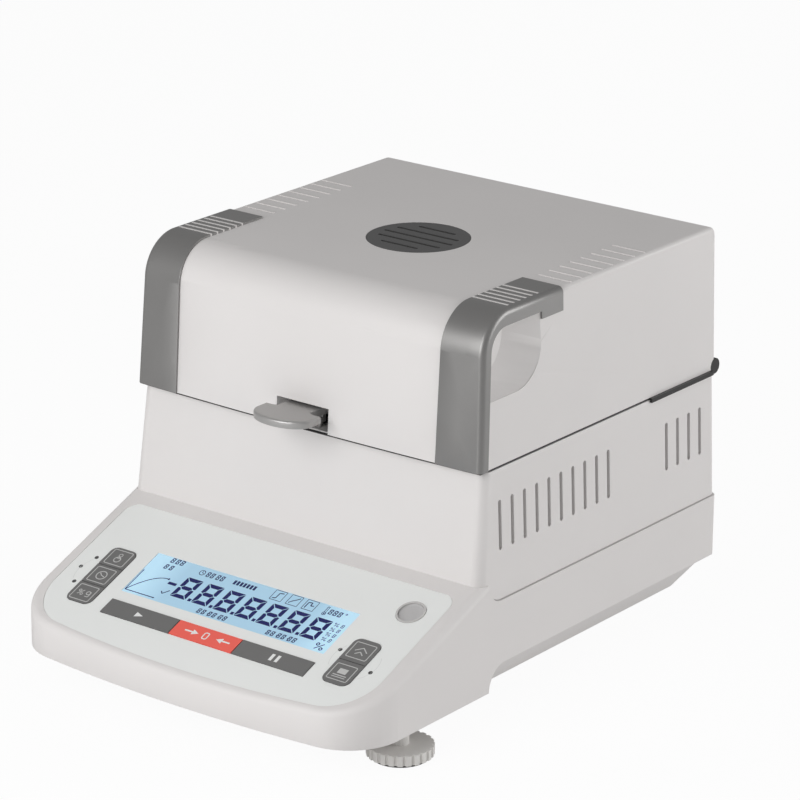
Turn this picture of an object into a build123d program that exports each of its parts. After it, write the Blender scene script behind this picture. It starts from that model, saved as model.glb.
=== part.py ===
"""Moisture analyzer: a balance with a heated lid over the pan, a sloping front panel and levelling feet."""
import os
from math import cos, radians, sin, tan

from build123d import *

os.makedirs("parts", exist_ok=True)

# Overall sizes. X is across the front, Y runs from the front to the rear, Z is up, the bench is Z = 0
overall_depth = 294.0
hinge_overhang = 4.5
base_half_width = 106.5
front_y = -overall_depth / 2
rear_y = overall_depth / 2 - hinge_overhang

# Levels above the bench
tray_z = 17.0
skirt_z = 29.2
split_z = 60.5
deck_z = 70.4
seam_z = 125.0
housing_top_z = seam_z - 1.0
lid_top_z = 197.2

# Base body
base_wall = 2.5
front_crown = 7.8
front_corner_r = 28.0
rear_corner_r = 4.0
deck_tilt = 22.0
deck_round = 4.0
housing_front_y = front_y + 94.5
ledge_depth = 5.8
skirt_step_y = housing_front_y + 6.5
floor_opening_half_x = base_half_width - 16.5
floor_opening_rear_y = rear_y - 27.5

# Tray under the base, drawn in towards the bench behind the skirt
tray_thick = 2.5
belly_low_half_x = base_half_width - 9.1
belly_high_half_x = base_half_width - 0.5
belly_low_rear_y = rear_y - 25.5
belly_high_rear_y = rear_y - 16.5
tray_gap = 0.3

# Chamber housing, drawn in slightly towards its top
housing_low_half_width = base_half_width - 0.9
housing_high_half_width = housing_low_half_width - 2.8
housing_front_lean = 6.0
housing_corner_r = 5.0
housing_wall = 2.5
top_plate = 3.0
seam_gap = 0.4

# Weighing axis and drying chamber
pan_y = (housing_front_y + rear_y) / 2 - 8.5
chamber_half_x = housing_high_half_width - 26.8
chamber_half_y = (rear_y - housing_front_y) / 2 - 25.5
chamber_corner_r = 18.0
chamber_floor_z = housing_top_z - 27.0
chamber_sheet = 1.0
chamber_flange = 4.0
seal_width = 2.5
seal_height = 0.9
wind_ring_r = chamber_half_y - 17.0
wind_ring_height = 14.0
stem_hole_r = 12.0
pan_r = wind_ring_r - 10.0
pan_sheet = 0.8
pan_depth = 6.0
support_z = chamber_floor_z + 11.0
support_arm_width = 4.0
support_arm_reach = pan_r - 5.0
support_thick = 2.0
support_stem_r = 2.5
support_hub_r = 6.0
stem_foot_z = chamber_floor_z - 34.2

# Load cell on its bracket
cell_half_width = 15.0
cell_front_y = pan_y - 14.5
cell_rear_y = cell_front_y + 91.0
cell_high_z = stem_foot_z - 0.8
cell_low_z = cell_high_z - 22.0
bracket_front_y = cell_rear_y - 25.0
cell_hole_r = 7.0
cell_hole_reach = 14.0
cell_slot_half = 3.0

# Lid
lid_low_half_width = housing_high_half_width - 0.3
lid_high_half_width = lid_low_half_width - 2.3
lid_front_y = housing_front_y + 0.5
lid_front_lean = 3.5
lid_crown = 2.2
crown_half_angle = 4.0
lid_round = 20.0
lid_edge_r = 2.0
lid_rear_r = 4.0
lid_wall = 3.0
notch_half_width = 15.5
notch_height = 12.4

# Corner guards of the lid
guard_inner_x = lid_low_half_width - 24.5
guard_rear_y = lid_front_y + 66.0
guard_proud = 1.0
guard_depth = 1.4
guard_band = 5.8
guard_rail_z = lid_top_z - 6.8
guard_heel_z = guard_rail_z - 3.6
guard_heel_y = guard_rear_y - 16.6
guard_bend_r = 11.4

# Finger recesses in the sides of the lid: a wide outline at the side, a small one at the bottom
grip_face_x = lid_low_half_width - 1.5
grip_depth = 8.5
grip_front_y = lid_front_y + 8.6
grip_rear_y = lid_front_y + 50.0
grip_low_z = guard_rail_z - 33.6
grip_corner_r = 20.0
grip_deep_rear_y = grip_rear_y - 19.5
grip_deep_low_z = grip_low_z + 6.9
grip_deep_corner_r = 21.0
grip_wall = 2.0

# Fine ribs on the lid
rib_width = 1.1
rib_outer_x = lid_low_half_width - 4.5
rib_height = 0.35
guard_rib_count = 6
guard_rib_pitch = 4.6
guard_rib_first_y = lid_front_y + 27.5
lid_rib_inner_x = guard_inner_x + 1.5
lid_rib_count = 8
lid_rib_pitch = 8.6
lid_rib_first_y = guard_rear_y + 10.5

# Round grille on top of the lid
grille_r = 25.3
grille_thick = 2.4
grille_seat = 2.0
grille_gap = 0.2
grille_slot_width = 2.0
grille_slot_pitch = 7.45
grille_slots = ((0, 20.5), (1, 18.5), (2, 11.0))

# Lamp unit in the lid
liner_gap = 0.3
liner_z = seam_z + 1.0
liner_thick = 1.5
liner_front_y = lid_front_y + 19.0
liner_rear_y = rear_y - 6.3
glass_r = wind_ring_r - 1.0
liner_opening_r = glass_r + 4.0
glass_thick = 2.0
glass_ring_inner_r = glass_r - 4.0
glass_ring_outer_r = glass_r + 6.0
glass_ring_height = 5.5
reflector_r = glass_r + 8.0
reflector_flange_r = reflector_r + 6.0
reflector_sheet = 1.0
reflector_bend_z = seam_z + 33.0
reflector_top_z = reflector_bend_z + 13.0
lamp_ring_r = reflector_r - 20.0
lamp_tube_r = 4.0
lamp_z = seam_z + 23.0
socket_width = 12.0
socket_height = 7.0
probe_r = 1.2
probe_inner_r = 20.0
duct_wall = 1.5

# Lid hinge at the rear edge of the seam
hinge_y = rear_y + 0.5
hinge_z = seam_z + 1.0
knuckle_r = 4.0
hinge_pin_r = 1.5
pin_clearance = 0.05
knuckle_gap = 0.3
knuckle_clearance = 0.5
knuckle_outer_x = lid_low_half_width - 0.5
fixed_knuckle_inner_x = 60.0
lid_knuckle_inner_x = 20.0
leaf_thick = 2.8
leaf_top_z = seam_z + 20.0
leaf_web_thick = 3.0
leaf_gap = 0.3
trim_front_y = rear_y - 57.0
trim_proud = 1.3
trim_inset = 5.5
trim_thick = 2.2

# Side vents of the chamber housing
vent_width = 2.4
vent_length = 24.2
vent_end = 0.75
vent_pitch = 9.6
vent_mid_z = housing_top_z - 27.3
vent_front_count = 10
vent_front_y = housing_front_y + 16.5
vent_rear_count = 4
vent_rear_y = rear_y - 43.1

# Panel on the sloping deck. Distances down the slope start at the chamber housing
panel_half_width = base_half_width - 7.5
panel_front_gap = 3.6
panel_crown = 6.4
panel_front_r = 24.0
panel_rear_r = 7.0
panel_top_s = 8.5
panel_thick = 0.6
panel_recess = 0.7
panel_gap = 0.15
lcd_half_width = panel_half_width - 37.8
lcd_top_s = 34.7
lcd_end_s = 63.8
window_sink = 0.3
lcd_border = 3.2
lcd_thick = 5.0
bar_top_s = 70.0
bar_end_s = 80.2
bar_half_width = lcd_half_width + 0.3
tare_half_width = 19.0
strip_inner_x = lcd_half_width + 8.6
strip_outer_x = strip_inner_x + 15.6
strip_end_s = 78.8
left_strip_top_s = 38.9
right_strip_top_s = 48.4
strip_corner_r = 4.0
key_gap = 0.25
key_proud = 0.3
key_travel = 0.6
key_cap_height = 2.9
key_lip = 1.0
key_lip_height = 0.8
switch_r = 2.2
board_thick = 1.6
board_half_width = strip_outer_x + 4.6
board_top_s = 34.5
board_end_s = 84.0
level_x = panel_half_width - 15.5
level_s = 25.0
level_r = 7.2
level_wall = 0.9
level_proud = 0.3
level_depth = 9.0
level_floor = 6.6
vial_r = 4.6
vial_height = 3.4

# Boards and supply in the base
main_board_half_x = base_half_width - 31.5
main_board_front_y = front_y + 29.0
main_board_rear_y = housing_front_y - 5.5
power_board_left_x = 20.5 - base_half_width
power_board_right_x = power_board_left_x + 60.0
power_board_front_y = housing_front_y + 40.5
power_board_rear_y = rear_y - 42.5
board_z = tray_z + 7.0
board_post_r = 3.0
board_post_inset = 5.0
chip_height = 1.6
chips = ((0.23, 28.0, 9.0), (0.53, 33.0, 12.0), (0.8, 23.0, 7.0))
block_inset = 12.0
block_length = 30.0
block_height = 22.0
can_r = 6.0
can_height = 18.0
cans = ((16.0, 17.0), (16.0, 34.0), (41.0, 22.0))

# Rear sockets
socket_z = 45.0
inlet_x = power_board_left_x + 16.0
inlet_half_x = 14.0
inlet_half_z = 10.5
inlet_depth = 22.0
inlet_wall = 2.0
inlet_floor = 3.0
pin_half_width = 1.0
pin_half_height = 2.5
pin_short = 6.0
inlet_pins = ((-7.0, 2.0), (7.0, 2.0), (0.0, -3.0))
flange_margin = 2.5
flange_thick = 1.5
rocker_x = inlet_x + 32.0
rocker_half_x = 6.5
rocker_half_z = 9.5
rocker_frame = 1.5
rocker_gap = 0.3
rocker_pivot_depth = 3.0
rocker_half_root = 4.0
rocker_low_proud = 0.6
rocker_mid_proud = 1.0
rocker_high_proud = 3.2
rocker_low_draw = 0.8
rocker_high_draw = 1.6
rocker_axle_r = 2.0
rocker_box_depth = 14.0
rocker_well_depth = 11.0
port_x = base_half_width - 46.5
port_half_x = 15.5
port_half_z = 6.3
port_depth = 9.0
plug_half_x = 9.0
plug_half_z = 4.5
plug_proud = 4.5
plug_wall = 0.8
plug_well = 3.0

# Feet
foot_x = base_half_width - 12.5
foot_y = front_y + 50.5
foot_r = 15.7
foot_pad_thick = 1.4
foot_wheel_height = 5.0
foot_flutes = 24
flute_r = 1.0
foot_pad_r = 13.5
stem_r = 4.1
boss_r = 8.0
boss_top_z = tray_z + 13.0
stem_top_z = boss_top_z + 3.0
rear_foot_x = base_half_width - 51.5
rear_foot_y = rear_y - 47.5
rear_foot_r = 9.0
rear_foot_plug_r = 4.0
rear_foot_gap = 0.2

# Latch tab in the notch of the lid
tab_half_width = 16.4
tab_front_y = lid_front_y - 23.0
tab_rear_y = lid_front_y - 6.0
tab_nose_length = 10.0
tab_top_z = seam_z + 11.0
tab_thick = 3.6
tab_edge_r = 1.2
tab_corner_r = 3.0
tab_neck_half_width = 9.5
tab_pivot_y = lid_front_y + 12.0
tab_barrel_r = 2.8
tab_barrel_half_width = 14.6
latch_pin_r = 1.2
ear_thick = 2.2
ear_gap = 0.3
nose_half_width = 5.0
nose_thick = 2.4
nose_low_z = seam_z + 1.2
catch_gap = 0.3
catch_thick = 1.6
catch_top_z = housing_top_z + 4.5

bottom_up = (Align.CENTER, Align.CENTER, Align.MIN)

# Frame of the sloping deck: x across, y up the slope, z out of the deck
deck_normal = (0, -sin(radians(deck_tilt)), cos(radians(deck_tilt)))
deck = Plane(origin=(0, housing_front_y, deck_z), x_dir=(1, 0, 0), z_dir=deck_normal)
deck_fall = (housing_front_y - front_y) * tan(radians(deck_tilt))
deck_drop = base_wall / cos(radians(deck_tilt))
ledge_y = housing_front_y + ledge_depth
seam_arc_r = deck_z - split_z
skirt_step_r = skirt_z - tray_z
tray_floor_z = tray_z + tray_thick
wheel_top_z = foot_pad_thick + foot_wheel_height


# Block between two opposite corners
def block(low, high, mode=Mode.ADD):
    with Locations(tuple((a + b) / 2 for a, b in zip(low, high))):
        Box(*(b - a for a, b in zip(low, high)), mode=mode)


# Upright round bar between two heights
def post(x, y, radius, low_z, high_z, mode=Mode.ADD):
    with Locations((x, y, low_z)):
        Cylinder(radius, high_z - low_z, align=bottom_up, mode=mode)


# Round bar along X between two ends
def axle(y, z, radius, low_x, high_x, mode=Mode.ADD):
    with Locations(((low_x + high_x) / 2, y, z)):
        Cylinder(radius, high_x - low_x, rotation=(0, 90, 0), mode=mode)


# Plan with straight sides and a crowned front, laid at one height
def crowned_plan(z, half, front, back, crown, front_r, back_r):
    with BuildSketch(Plane.XY.offset(z)) as plan:
        with BuildLine():
            Polyline((half, front + crown), (half, back), (-half, back), (-half, front + crown))
            ThreePointArc((-half, front + crown), (0, front), (half, front + crown))
        make_face()
        if front_r > 0:
            fillet(plan.vertices().sort_by(Axis.Y)[:2], front_r)
        if back_r > 0:
            fillet(plan.vertices().sort_by(Axis.Y)[-2:], back_r)
    return plan.sketch


def base_plan(z, inset, back):
    return crowned_plan(z, base_half_width - inset, front_y + inset, back, front_crown,
                        front_corner_r - inset, max(rear_corner_r - inset, 1))


# Rectangle with round corners about the weighing axis, laid at one height
def chamber_outline(z, grow):
    with BuildSketch(Plane.XY.offset(z)) as plan:
        with Locations((0, pan_y)):
            RectangleRounded(2 * (chamber_half_x + grow), 2 * (chamber_half_y + grow),
                             chamber_corner_r + grow)
    return plan.sketch


# Outer form of the base: its plan cut to the side view with the sloping deck and the stepped skirt
with BuildPart() as base_form:
    extrude(base_plan(tray_z, 0, rear_y), amount=deck_z - tray_z)
    with BuildSketch(Plane.YZ):
        with BuildLine():
            Polyline((skirt_step_y + skirt_step_r, skirt_z), (rear_y + 1, skirt_z), (rear_y + 1, split_z),
                     (ledge_y + seam_arc_r, split_z))
            CenterArc((ledge_y + seam_arc_r, deck_z), seam_arc_r, 180, 90)
            Polyline((ledge_y, deck_z), (housing_front_y, deck_z), (front_y, deck_z - deck_fall),
                     (front_y, tray_z), (skirt_step_y, tray_z))
            CenterArc((skirt_step_y + skirt_step_r, tray_z), skirt_step_r, 90, 90)
        make_face()
    extrude(amount=base_half_width + 1, both=True, mode=Mode.INTERSECT)
    deck_face = base_form.faces().filter_by(Axis((0, 0, 0), deck_normal))[0]
    fillet(deck_face.edges().sort_by(Axis.Y)[:-1], deck_round)

# Hollow of the base, open to the tray below and to the chamber housing above
with BuildPart() as base_hollow:
    extrude(base_plan(tray_z - 1, base_wall, rear_y - base_wall), amount=deck_z + 10 - tray_z)
    with BuildSketch(Plane.YZ):
        with BuildLine():
            Polyline((skirt_step_y + skirt_step_r, skirt_z + base_wall), (rear_y, skirt_z + base_wall),
                     (rear_y, deck_z + 8), (ledge_y, deck_z + 8), (ledge_y, deck_z - base_wall),
                     (housing_front_y, deck_z - deck_drop), (front_y, deck_z - deck_fall - deck_drop),
                     (front_y, tray_z - 1), (skirt_step_y - base_wall, tray_z - 1),
                     (skirt_step_y - base_wall, tray_z))
            CenterArc((skirt_step_y + skirt_step_r, tray_z), skirt_step_r + base_wall, 90, 90)
        make_face()
    extrude(amount=base_half_width, both=True, mode=Mode.INTERSECT)
    block((-floor_opening_half_x, skirt_step_y - 2 * base_wall, tray_z - 1),
          (floor_opening_half_x, floor_opening_rear_y, skirt_z + base_wall + 1))

# Openings through the deck for the display, the keys and the level
with BuildPart() as deck_openings:
    with BuildSketch(deck):
        with Locations((0, -(lcd_top_s + lcd_end_s) / 2)):
            Rectangle(2 * lcd_half_width, lcd_end_s - lcd_top_s)
        with Locations((0, -(bar_top_s + bar_end_s) / 2)):
            Rectangle(2 * bar_half_width, bar_end_s - bar_top_s)
        for side, top_s in ((-1, left_strip_top_s), (1, right_strip_top_s)):
            with Locations((side * (strip_inner_x + strip_outer_x) / 2, -(top_s + strip_end_s) / 2)):
                RectangleRounded(strip_outer_x - strip_inner_x, strip_end_s - top_s, strip_corner_r)
        with Locations((level_x, -level_s)):
            Circle(level_r + panel_gap)
    extrude(amount=2 * base_wall, both=True)


# Prism of the panel with its edges drawn in by an inset, between two distances from the deck
def panel_slab(inset, low, high):
    with BuildPart() as slab:
        plan = crowned_plan(0, panel_half_width - inset, front_y + panel_front_gap + inset,
                            housing_front_y - panel_top_s * cos(radians(deck_tilt)) - inset, panel_crown,
                            panel_front_r - inset, panel_rear_r - inset)
        extrude(plan, amount=deck_z + 10)
        with BuildSketch(deck.offset(low)):
            Rectangle(4 * base_half_width, 4 * base_half_width)
        extrude(amount=high - low, mode=Mode.INTERSECT)
    return slab.part


with BuildPart() as base_housing:
    add(base_form.part)
    add(base_hollow.part, mode=Mode.SUBTRACT)
    add(panel_slab(0, -panel_recess, 2), mode=Mode.SUBTRACT)
    add(deck_openings.part, mode=Mode.SUBTRACT)
    for x, half_x, half_z in ((inlet_x, inlet_half_x, inlet_half_z),
                              (rocker_x, rocker_half_x + rocker_frame, rocker_half_z + rocker_frame),
                              (port_x, port_half_x, port_half_z)):
        block((x - half_x - panel_gap, rear_y - 2 * base_wall, socket_z - half_z - panel_gap),
              (x + half_x + panel_gap, rear_y + 1, socket_z + half_z + panel_gap), Mode.SUBTRACT)
base_housing.part.label = "base_housing"
export_step(base_housing.part, "parts/base_housing.step")

# Tray: a plate inside the skirt at the front, a shallow drawn-in belly behind it, bosses and posts
with BuildPart() as belly:
    with BuildSketch(Plane.XY.offset(tray_z)):
        with Locations((0, (skirt_step_y + belly_low_rear_y) / 2)):
            Rectangle(2 * belly_low_half_x, belly_low_rear_y - skirt_step_y)
    with BuildSketch(Plane.XY.offset(skirt_z)):
        with Locations((0, (skirt_step_y + belly_high_rear_y) / 2)):
            Rectangle(2 * belly_high_half_x, belly_high_rear_y - skirt_step_y)
    loft(ruled=True)
    belly_ends = belly.faces().filter_by(Axis.Y).sort_by(Axis.Y)[:1] + belly.faces().sort_by(Axis.Z)[-1:]
    offset(amount=-tray_thick, openings=belly_ends)
    add(base_form.part, mode=Mode.SUBTRACT)

tray_clear = base_wall + tray_gap
with BuildPart() as base_tray:
    plate = crowned_plan(tray_z, base_half_width - tray_clear, front_y + tray_clear,
                         skirt_step_y - tray_clear, front_crown, front_corner_r - tray_clear, 0)
    extrude(plate, amount=tray_thick)
    block((tray_gap - floor_opening_half_x, skirt_step_y - 2 * tray_clear, tray_z),
          (floor_opening_half_x - tray_gap, skirt_step_y + skirt_step_r, tray_floor_z))
    add(belly.part)
    for side in (-1, 1):
        post(side * foot_x, foot_y, boss_r, tray_z, boss_top_z)
        post(side * foot_x, foot_y, stem_r + pin_clearance, tray_z - 1, boss_top_z + 1, Mode.SUBTRACT)
        post(side * rear_foot_x, rear_foot_y, rear_foot_plug_r + rear_foot_gap, tray_z - 1, tray_z + 10,
             Mode.SUBTRACT)
    for low_x, high_x, low_y, high_y in (
            (-main_board_half_x, main_board_half_x, main_board_front_y, main_board_rear_y),
            (power_board_left_x, power_board_right_x, power_board_front_y, power_board_rear_y)):
        for x in (low_x + board_post_inset, high_x - board_post_inset):
            for y in (low_y + board_post_inset, high_y - board_post_inset):
                post(x, y, board_post_r, tray_floor_z, board_z)
base_tray.part.label = "base_tray"
export_step(base_tray.part, "parts/base_tray.step")


# Plan of the chamber housing at one height
def housing_plan(z, inset):
    share = (z - split_z) / (housing_top_z - split_z)
    half = housing_low_half_width + (housing_high_half_width - housing_low_half_width) * share - inset
    front = housing_front_y + (z - deck_z) * tan(radians(housing_front_lean)) + inset
    back = rear_y - inset
    with BuildSketch(Plane.XY.offset(z)) as plan:
        with Locations((0, (front + back) / 2)):
            RectangleRounded(2 * half, back - front, max(housing_corner_r - inset, 0.6))
    return plan.sketch


# Rail along the sides and the rear of the chamber housing under the lid
with BuildPart() as trim_form:
    extrude(housing_plan(seam_z - trim_thick, -trim_proud), amount=trim_thick)
    extrude(housing_plan(seam_z - trim_thick, trim_inset), amount=trim_thick, mode=Mode.SUBTRACT)
    for low_y, high_y in ((front_y, trim_front_y), (rear_y, rear_y + 5)):
        block((-base_half_width - 5, low_y, seam_z - trim_thick - 1),
              (base_half_width + 5, high_y, seam_z + 1), Mode.SUBTRACT)

with BuildPart() as chamber_housing:
    loft(sections=[housing_plan(split_z, 0), housing_plan(housing_top_z, 0)], ruled=True)
    with BuildSketch(Plane.YZ):
        with BuildLine():
            Polyline((ledge_y + seam_arc_r, split_z + seam_gap), (rear_y + 1, split_z + seam_gap),
                     (rear_y + 1, housing_top_z), (housing_front_y - 5, housing_top_z),
                     (housing_front_y - 5, deck_z), (ledge_y + seam_gap, deck_z))
            CenterArc((ledge_y + seam_arc_r, deck_z), seam_arc_r - seam_gap, 180, 90)
        make_face()
    extrude(amount=base_half_width, both=True, mode=Mode.INTERSECT)
    inner = [housing_plan(split_z, housing_wall), housing_plan(housing_top_z - top_plate, housing_wall)]
    loft(sections=inner, ruled=True, mode=Mode.SUBTRACT)
    extrude(chamber_outline(housing_top_z - 2 * top_plate, 0), amount=3 * top_plate, mode=Mode.SUBTRACT)
    with BuildSketch(Plane.YZ) as vents:
        for first_y, count in ((vent_front_y, vent_front_count), (vent_rear_y, vent_rear_count)):
            with Locations(*((first_y + i * vent_pitch, vent_mid_z) for i in range(count))):
                Rectangle(vent_width, vent_length)
        chamfer(vents.vertices(), vent_end)
    extrude(amount=base_half_width, both=True, mode=Mode.SUBTRACT)
    add(trim_form.part, mode=Mode.SUBTRACT)
    axle(hinge_y, hinge_z, knuckle_r + knuckle_clearance, -base_half_width, base_half_width, Mode.SUBTRACT)
chamber_housing.part.label = "chamber_housing"
export_step(chamber_housing.part, "parts/chamber_housing.step")

# Drying chamber: a sheet tray hung in the top of the housing, with its seal, wind ring and heat screen
with BuildPart() as drying_chamber:
    wall_height = housing_top_z + chamber_sheet - chamber_floor_z
    extrude(chamber_outline(housing_top_z, chamber_flange), amount=chamber_sheet)
    extrude(chamber_outline(chamber_floor_z, -chamber_sheet), amount=wall_height)
    extrude(chamber_outline(chamber_floor_z + chamber_sheet, -2 * chamber_sheet), amount=wall_height,
            mode=Mode.SUBTRACT)
    post(0, pan_y, stem_hole_r, chamber_floor_z - 1, chamber_floor_z + 2, Mode.SUBTRACT)
drying_chamber.part.label = "drying_chamber"
export_step(drying_chamber.part, "parts/drying_chamber.step")

with BuildPart() as chamber_seal:
    extrude(chamber_outline(seam_z, seal_width), amount=seal_height)
    extrude(chamber_outline(seam_z, 0), amount=seal_height, mode=Mode.SUBTRACT)
chamber_seal.part.label = "chamber_seal"
export_step(chamber_seal.part, "parts/chamber_seal.step")

chamber_inside_z = chamber_floor_z + chamber_sheet
with BuildPart() as wind_ring:
    post(0, pan_y, wind_ring_r, chamber_inside_z, chamber_inside_z + wind_ring_height)
    post(0, pan_y, wind_ring_r - chamber_sheet, chamber_inside_z, chamber_inside_z + wind_ring_height,
         Mode.SUBTRACT)
wind_ring.part.label = "wind_ring"
export_step(wind_ring.part, "parts/wind_ring.step")

# Weighing side: three arms on a stem, carrying the sample pan
with BuildPart() as pan_support:
    post(0, pan_y, support_stem_r, stem_foot_z, support_z)
    post(0, pan_y, support_hub_r, support_z - 2 * support_thick, support_z)
    with Locations((0, pan_y, support_z - support_thick / 2)):
        with PolarLocations(support_arm_reach / 2, 3, 90):
            Box(support_arm_reach, support_arm_width, support_thick)
pan_support.part.label = "pan_support"
export_step(pan_support.part, "parts/pan_support.step")

with BuildPart() as sample_pan:
    post(0, pan_y, pan_r, support_z, support_z + pan_depth)
    fillet(sample_pan.edges().sort_by(Axis.Z)[0], 2)
    post(0, pan_y, pan_r - pan_sheet, support_z + pan_sheet, support_z + pan_depth, Mode.SUBTRACT)
    post(0, pan_y, pan_r + 1.5, support_z + pan_depth - pan_sheet, support_z + pan_depth)
    post(0, pan_y, pan_r - pan_sheet, support_z + pan_depth - pan_sheet, support_z + pan_depth, Mode.SUBTRACT)
sample_pan.part.label = "sample_pan"
export_step(sample_pan.part, "parts/sample_pan.step")

with BuildPart() as load_cell:
    block((-cell_half_width, cell_front_y, cell_low_z), (cell_half_width, cell_rear_y, cell_high_z))
    middle_y = (cell_front_y + cell_rear_y) / 2
    middle_z = (cell_low_z + cell_high_z) / 2
    for y in (middle_y - cell_hole_reach, middle_y + cell_hole_reach):
        axle(y, middle_z, cell_hole_r, -cell_half_width - 1, cell_half_width + 1, Mode.SUBTRACT)
    block((-cell_half_width - 1, middle_y - cell_hole_reach, middle_z - cell_slot_half),
          (cell_half_width + 1, middle_y + cell_hole_reach, middle_z + cell_slot_half), Mode.SUBTRACT)
load_cell.part.label = "load_cell"
export_step(load_cell.part, "parts/load_cell.step")

with BuildPart() as load_cell_bracket:
    block((-cell_half_width, bracket_front_y, tray_floor_z), (cell_half_width, cell_rear_y, cell_low_z))
load_cell_bracket.part.label = "load_cell_bracket"
export_step(load_cell_bracket.part, "parts/load_cell_bracket.step")

# Boards on the posts of the tray
board_top_z = board_z + board_thick
with BuildPart() as main_board:
    block((-main_board_half_x, main_board_front_y, board_z),
          (main_board_half_x, main_board_rear_y, board_top_z))
    for share, from_front, half in chips:
        x = (2 * share - 1) * main_board_half_x
        y = main_board_front_y + from_front
        block((x - half, y - half, board_top_z), (x + half, y + half, board_top_z + chip_height))
main_board.part.label = "main_board"
export_step(main_board.part, "parts/main_board.step")

with BuildPart() as power_board:
    block((power_board_left_x, power_board_front_y, board_z),
          (power_board_right_x, power_board_rear_y, board_top_z))
    block_rear_y = power_board_rear_y - board_post_inset
    block((power_board_left_x + block_inset, block_rear_y - block_length, board_top_z),
          (power_board_right_x - block_inset, block_rear_y, board_top_z + block_height))
    for from_left, from_front in cans:
        post(power_board_left_x + from_left, power_board_front_y + from_front, can_r, board_top_z,
             board_top_z + can_height)
power_board.part.label = "power_board"
export_step(power_board.part, "parts/power_board.step")

# Display unit, hung under the deck, and its board with the switches
module_low = -base_wall - lcd_thick
with BuildPart() as display_module:
    with BuildSketch(deck.offset(module_low)):
        with Locations((0, -(lcd_top_s + lcd_end_s) / 2)):
            Rectangle(2 * (lcd_half_width + lcd_border), lcd_end_s - lcd_top_s + 2 * lcd_border)
    extrude(amount=lcd_thick)
display_module.part.label = "display_module"
export_step(display_module.part, "parts/display_module.step")

with BuildPart() as display_window:
    with BuildSketch(deck.offset(-base_wall)):
        with Locations((0, -(lcd_top_s + lcd_end_s) / 2)):
            Rectangle(2 * (lcd_half_width - panel_gap), lcd_end_s - lcd_top_s - 2 * panel_gap)
    extrude(amount=base_wall - window_sink)
display_window.part.label = "display_window"
export_step(display_window.part, "parts/display_window.step")

with BuildPart() as panel_overlay:
    add(panel_slab(panel_gap, -panel_recess, panel_thick - panel_recess))
    add(deck_openings.part, mode=Mode.SUBTRACT)
panel_overlay.part.label = "panel_overlay"
export_step(panel_overlay.part, "parts/panel_overlay.step")

bar_mid_s = (bar_top_s + bar_end_s) / 2
bar_keys = (("start_key", -bar_half_width, -tare_half_width), ("tare_key", -tare_half_width, tare_half_width),
            ("stop_key", tare_half_width, bar_half_width))
left_pitch = (strip_end_s - left_strip_top_s) / 3
right_pitch = (strip_end_s - right_strip_top_s) / 2
strip_keys = (("left_key_upper", -1, left_strip_top_s, 0, left_pitch),
              ("left_key_middle", -1, left_strip_top_s, 1, left_pitch),
              ("left_key_lower", -1, left_strip_top_s, 2, left_pitch),
              ("right_key_upper", 1, right_strip_top_s, 0, right_pitch),
              ("right_key_lower", 1, right_strip_top_s, 1, right_pitch))
cap_low = key_proud - key_cap_height
switch_top = cap_low - key_lip_height - key_travel - key_gap
switch_places = [((low_x + high_x) / 2, -bar_mid_s) for label, low_x, high_x in bar_keys]
switch_places += [(side * (strip_inner_x + strip_outer_x) / 2, -(top_s + (i + 0.5) * pitch))
                  for label, side, top_s, i, pitch in strip_keys]

with BuildPart() as display_board:
    with BuildSketch(deck.offset(module_low - board_thick)):
        with Locations((0, -(board_top_s + board_end_s) / 2)):
            Rectangle(2 * board_half_width, board_end_s - board_top_s)
    extrude(amount=board_thick)
    with BuildSketch(deck.offset(module_low)):
        with Locations(*switch_places):
            Circle(switch_r)
    extrude(amount=switch_top - module_low)
display_board.part.label = "display_board"
export_step(display_board.part, "parts/display_board.step")

# Wide keys under the display, each with a lip below the deck
for label, low_x, high_x in bar_keys:
    with BuildPart() as bar_key:
        with BuildSketch(deck.offset(cap_low)):
            with Locations(((low_x + high_x) / 2, -bar_mid_s)):
                Rectangle(high_x - low_x - 2 * key_gap, bar_end_s - bar_top_s - 2 * key_gap)
        extrude(amount=key_cap_height)
        with BuildSketch(deck.offset(cap_low - key_lip_height)):
            with Locations(((low_x + high_x) / 2, -bar_mid_s)):
                Rectangle(high_x - low_x - 2 * key_gap, bar_end_s - bar_top_s + 2 * key_lip)
        extrude(amount=key_lip_height)
    bar_key.part.label = label
    export_step(bar_key.part, f"parts/{label}.step")

# Small keys: slices of a rounded strip on each side of the display
for label, side, top_s, index, pitch in strip_keys:
    middle_x = side * (strip_inner_x + strip_outer_x) / 2
    key_mid_s = top_s + (index + 0.5) * pitch
    with BuildPart() as strip_key:
        with BuildSketch(deck.offset(cap_low)):
            with Locations((middle_x, -(top_s + strip_end_s) / 2)):
                RectangleRounded(strip_outer_x - strip_inner_x - 2 * key_gap,
                                 strip_end_s - top_s - 2 * key_gap, strip_corner_r - key_gap)
            with Locations((middle_x, -key_mid_s)):
                Rectangle(strip_outer_x, pitch - 2 * key_gap, mode=Mode.INTERSECT)
        extrude(amount=key_cap_height)
        with BuildSketch(deck.offset(cap_low - key_lip_height)):
            with Locations((middle_x, -key_mid_s)):
                Rectangle(strip_outer_x - strip_inner_x + 2 * key_lip, pitch - 4 * key_gap)
        extrude(amount=key_lip_height)
    strip_key.part.label = label
    export_step(strip_key.part, f"parts/{label}.step")

# Level: a cup let into the deck with an upright vial on its flat floor
level_point = deck.from_local_coords((level_x, -level_s, -level_floor))
with BuildPart() as cup_bore:
    with BuildSketch(deck.offset(-level_depth)):
        with Locations((level_x, -level_s)):
            Circle(level_r - level_wall)
    extrude(amount=level_depth + level_proud)
    with Locations((level_x, level_point.Y, level_point.Z)):
        Cylinder(2 * level_r, 3 * level_depth, align=bottom_up, mode=Mode.INTERSECT)

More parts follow.
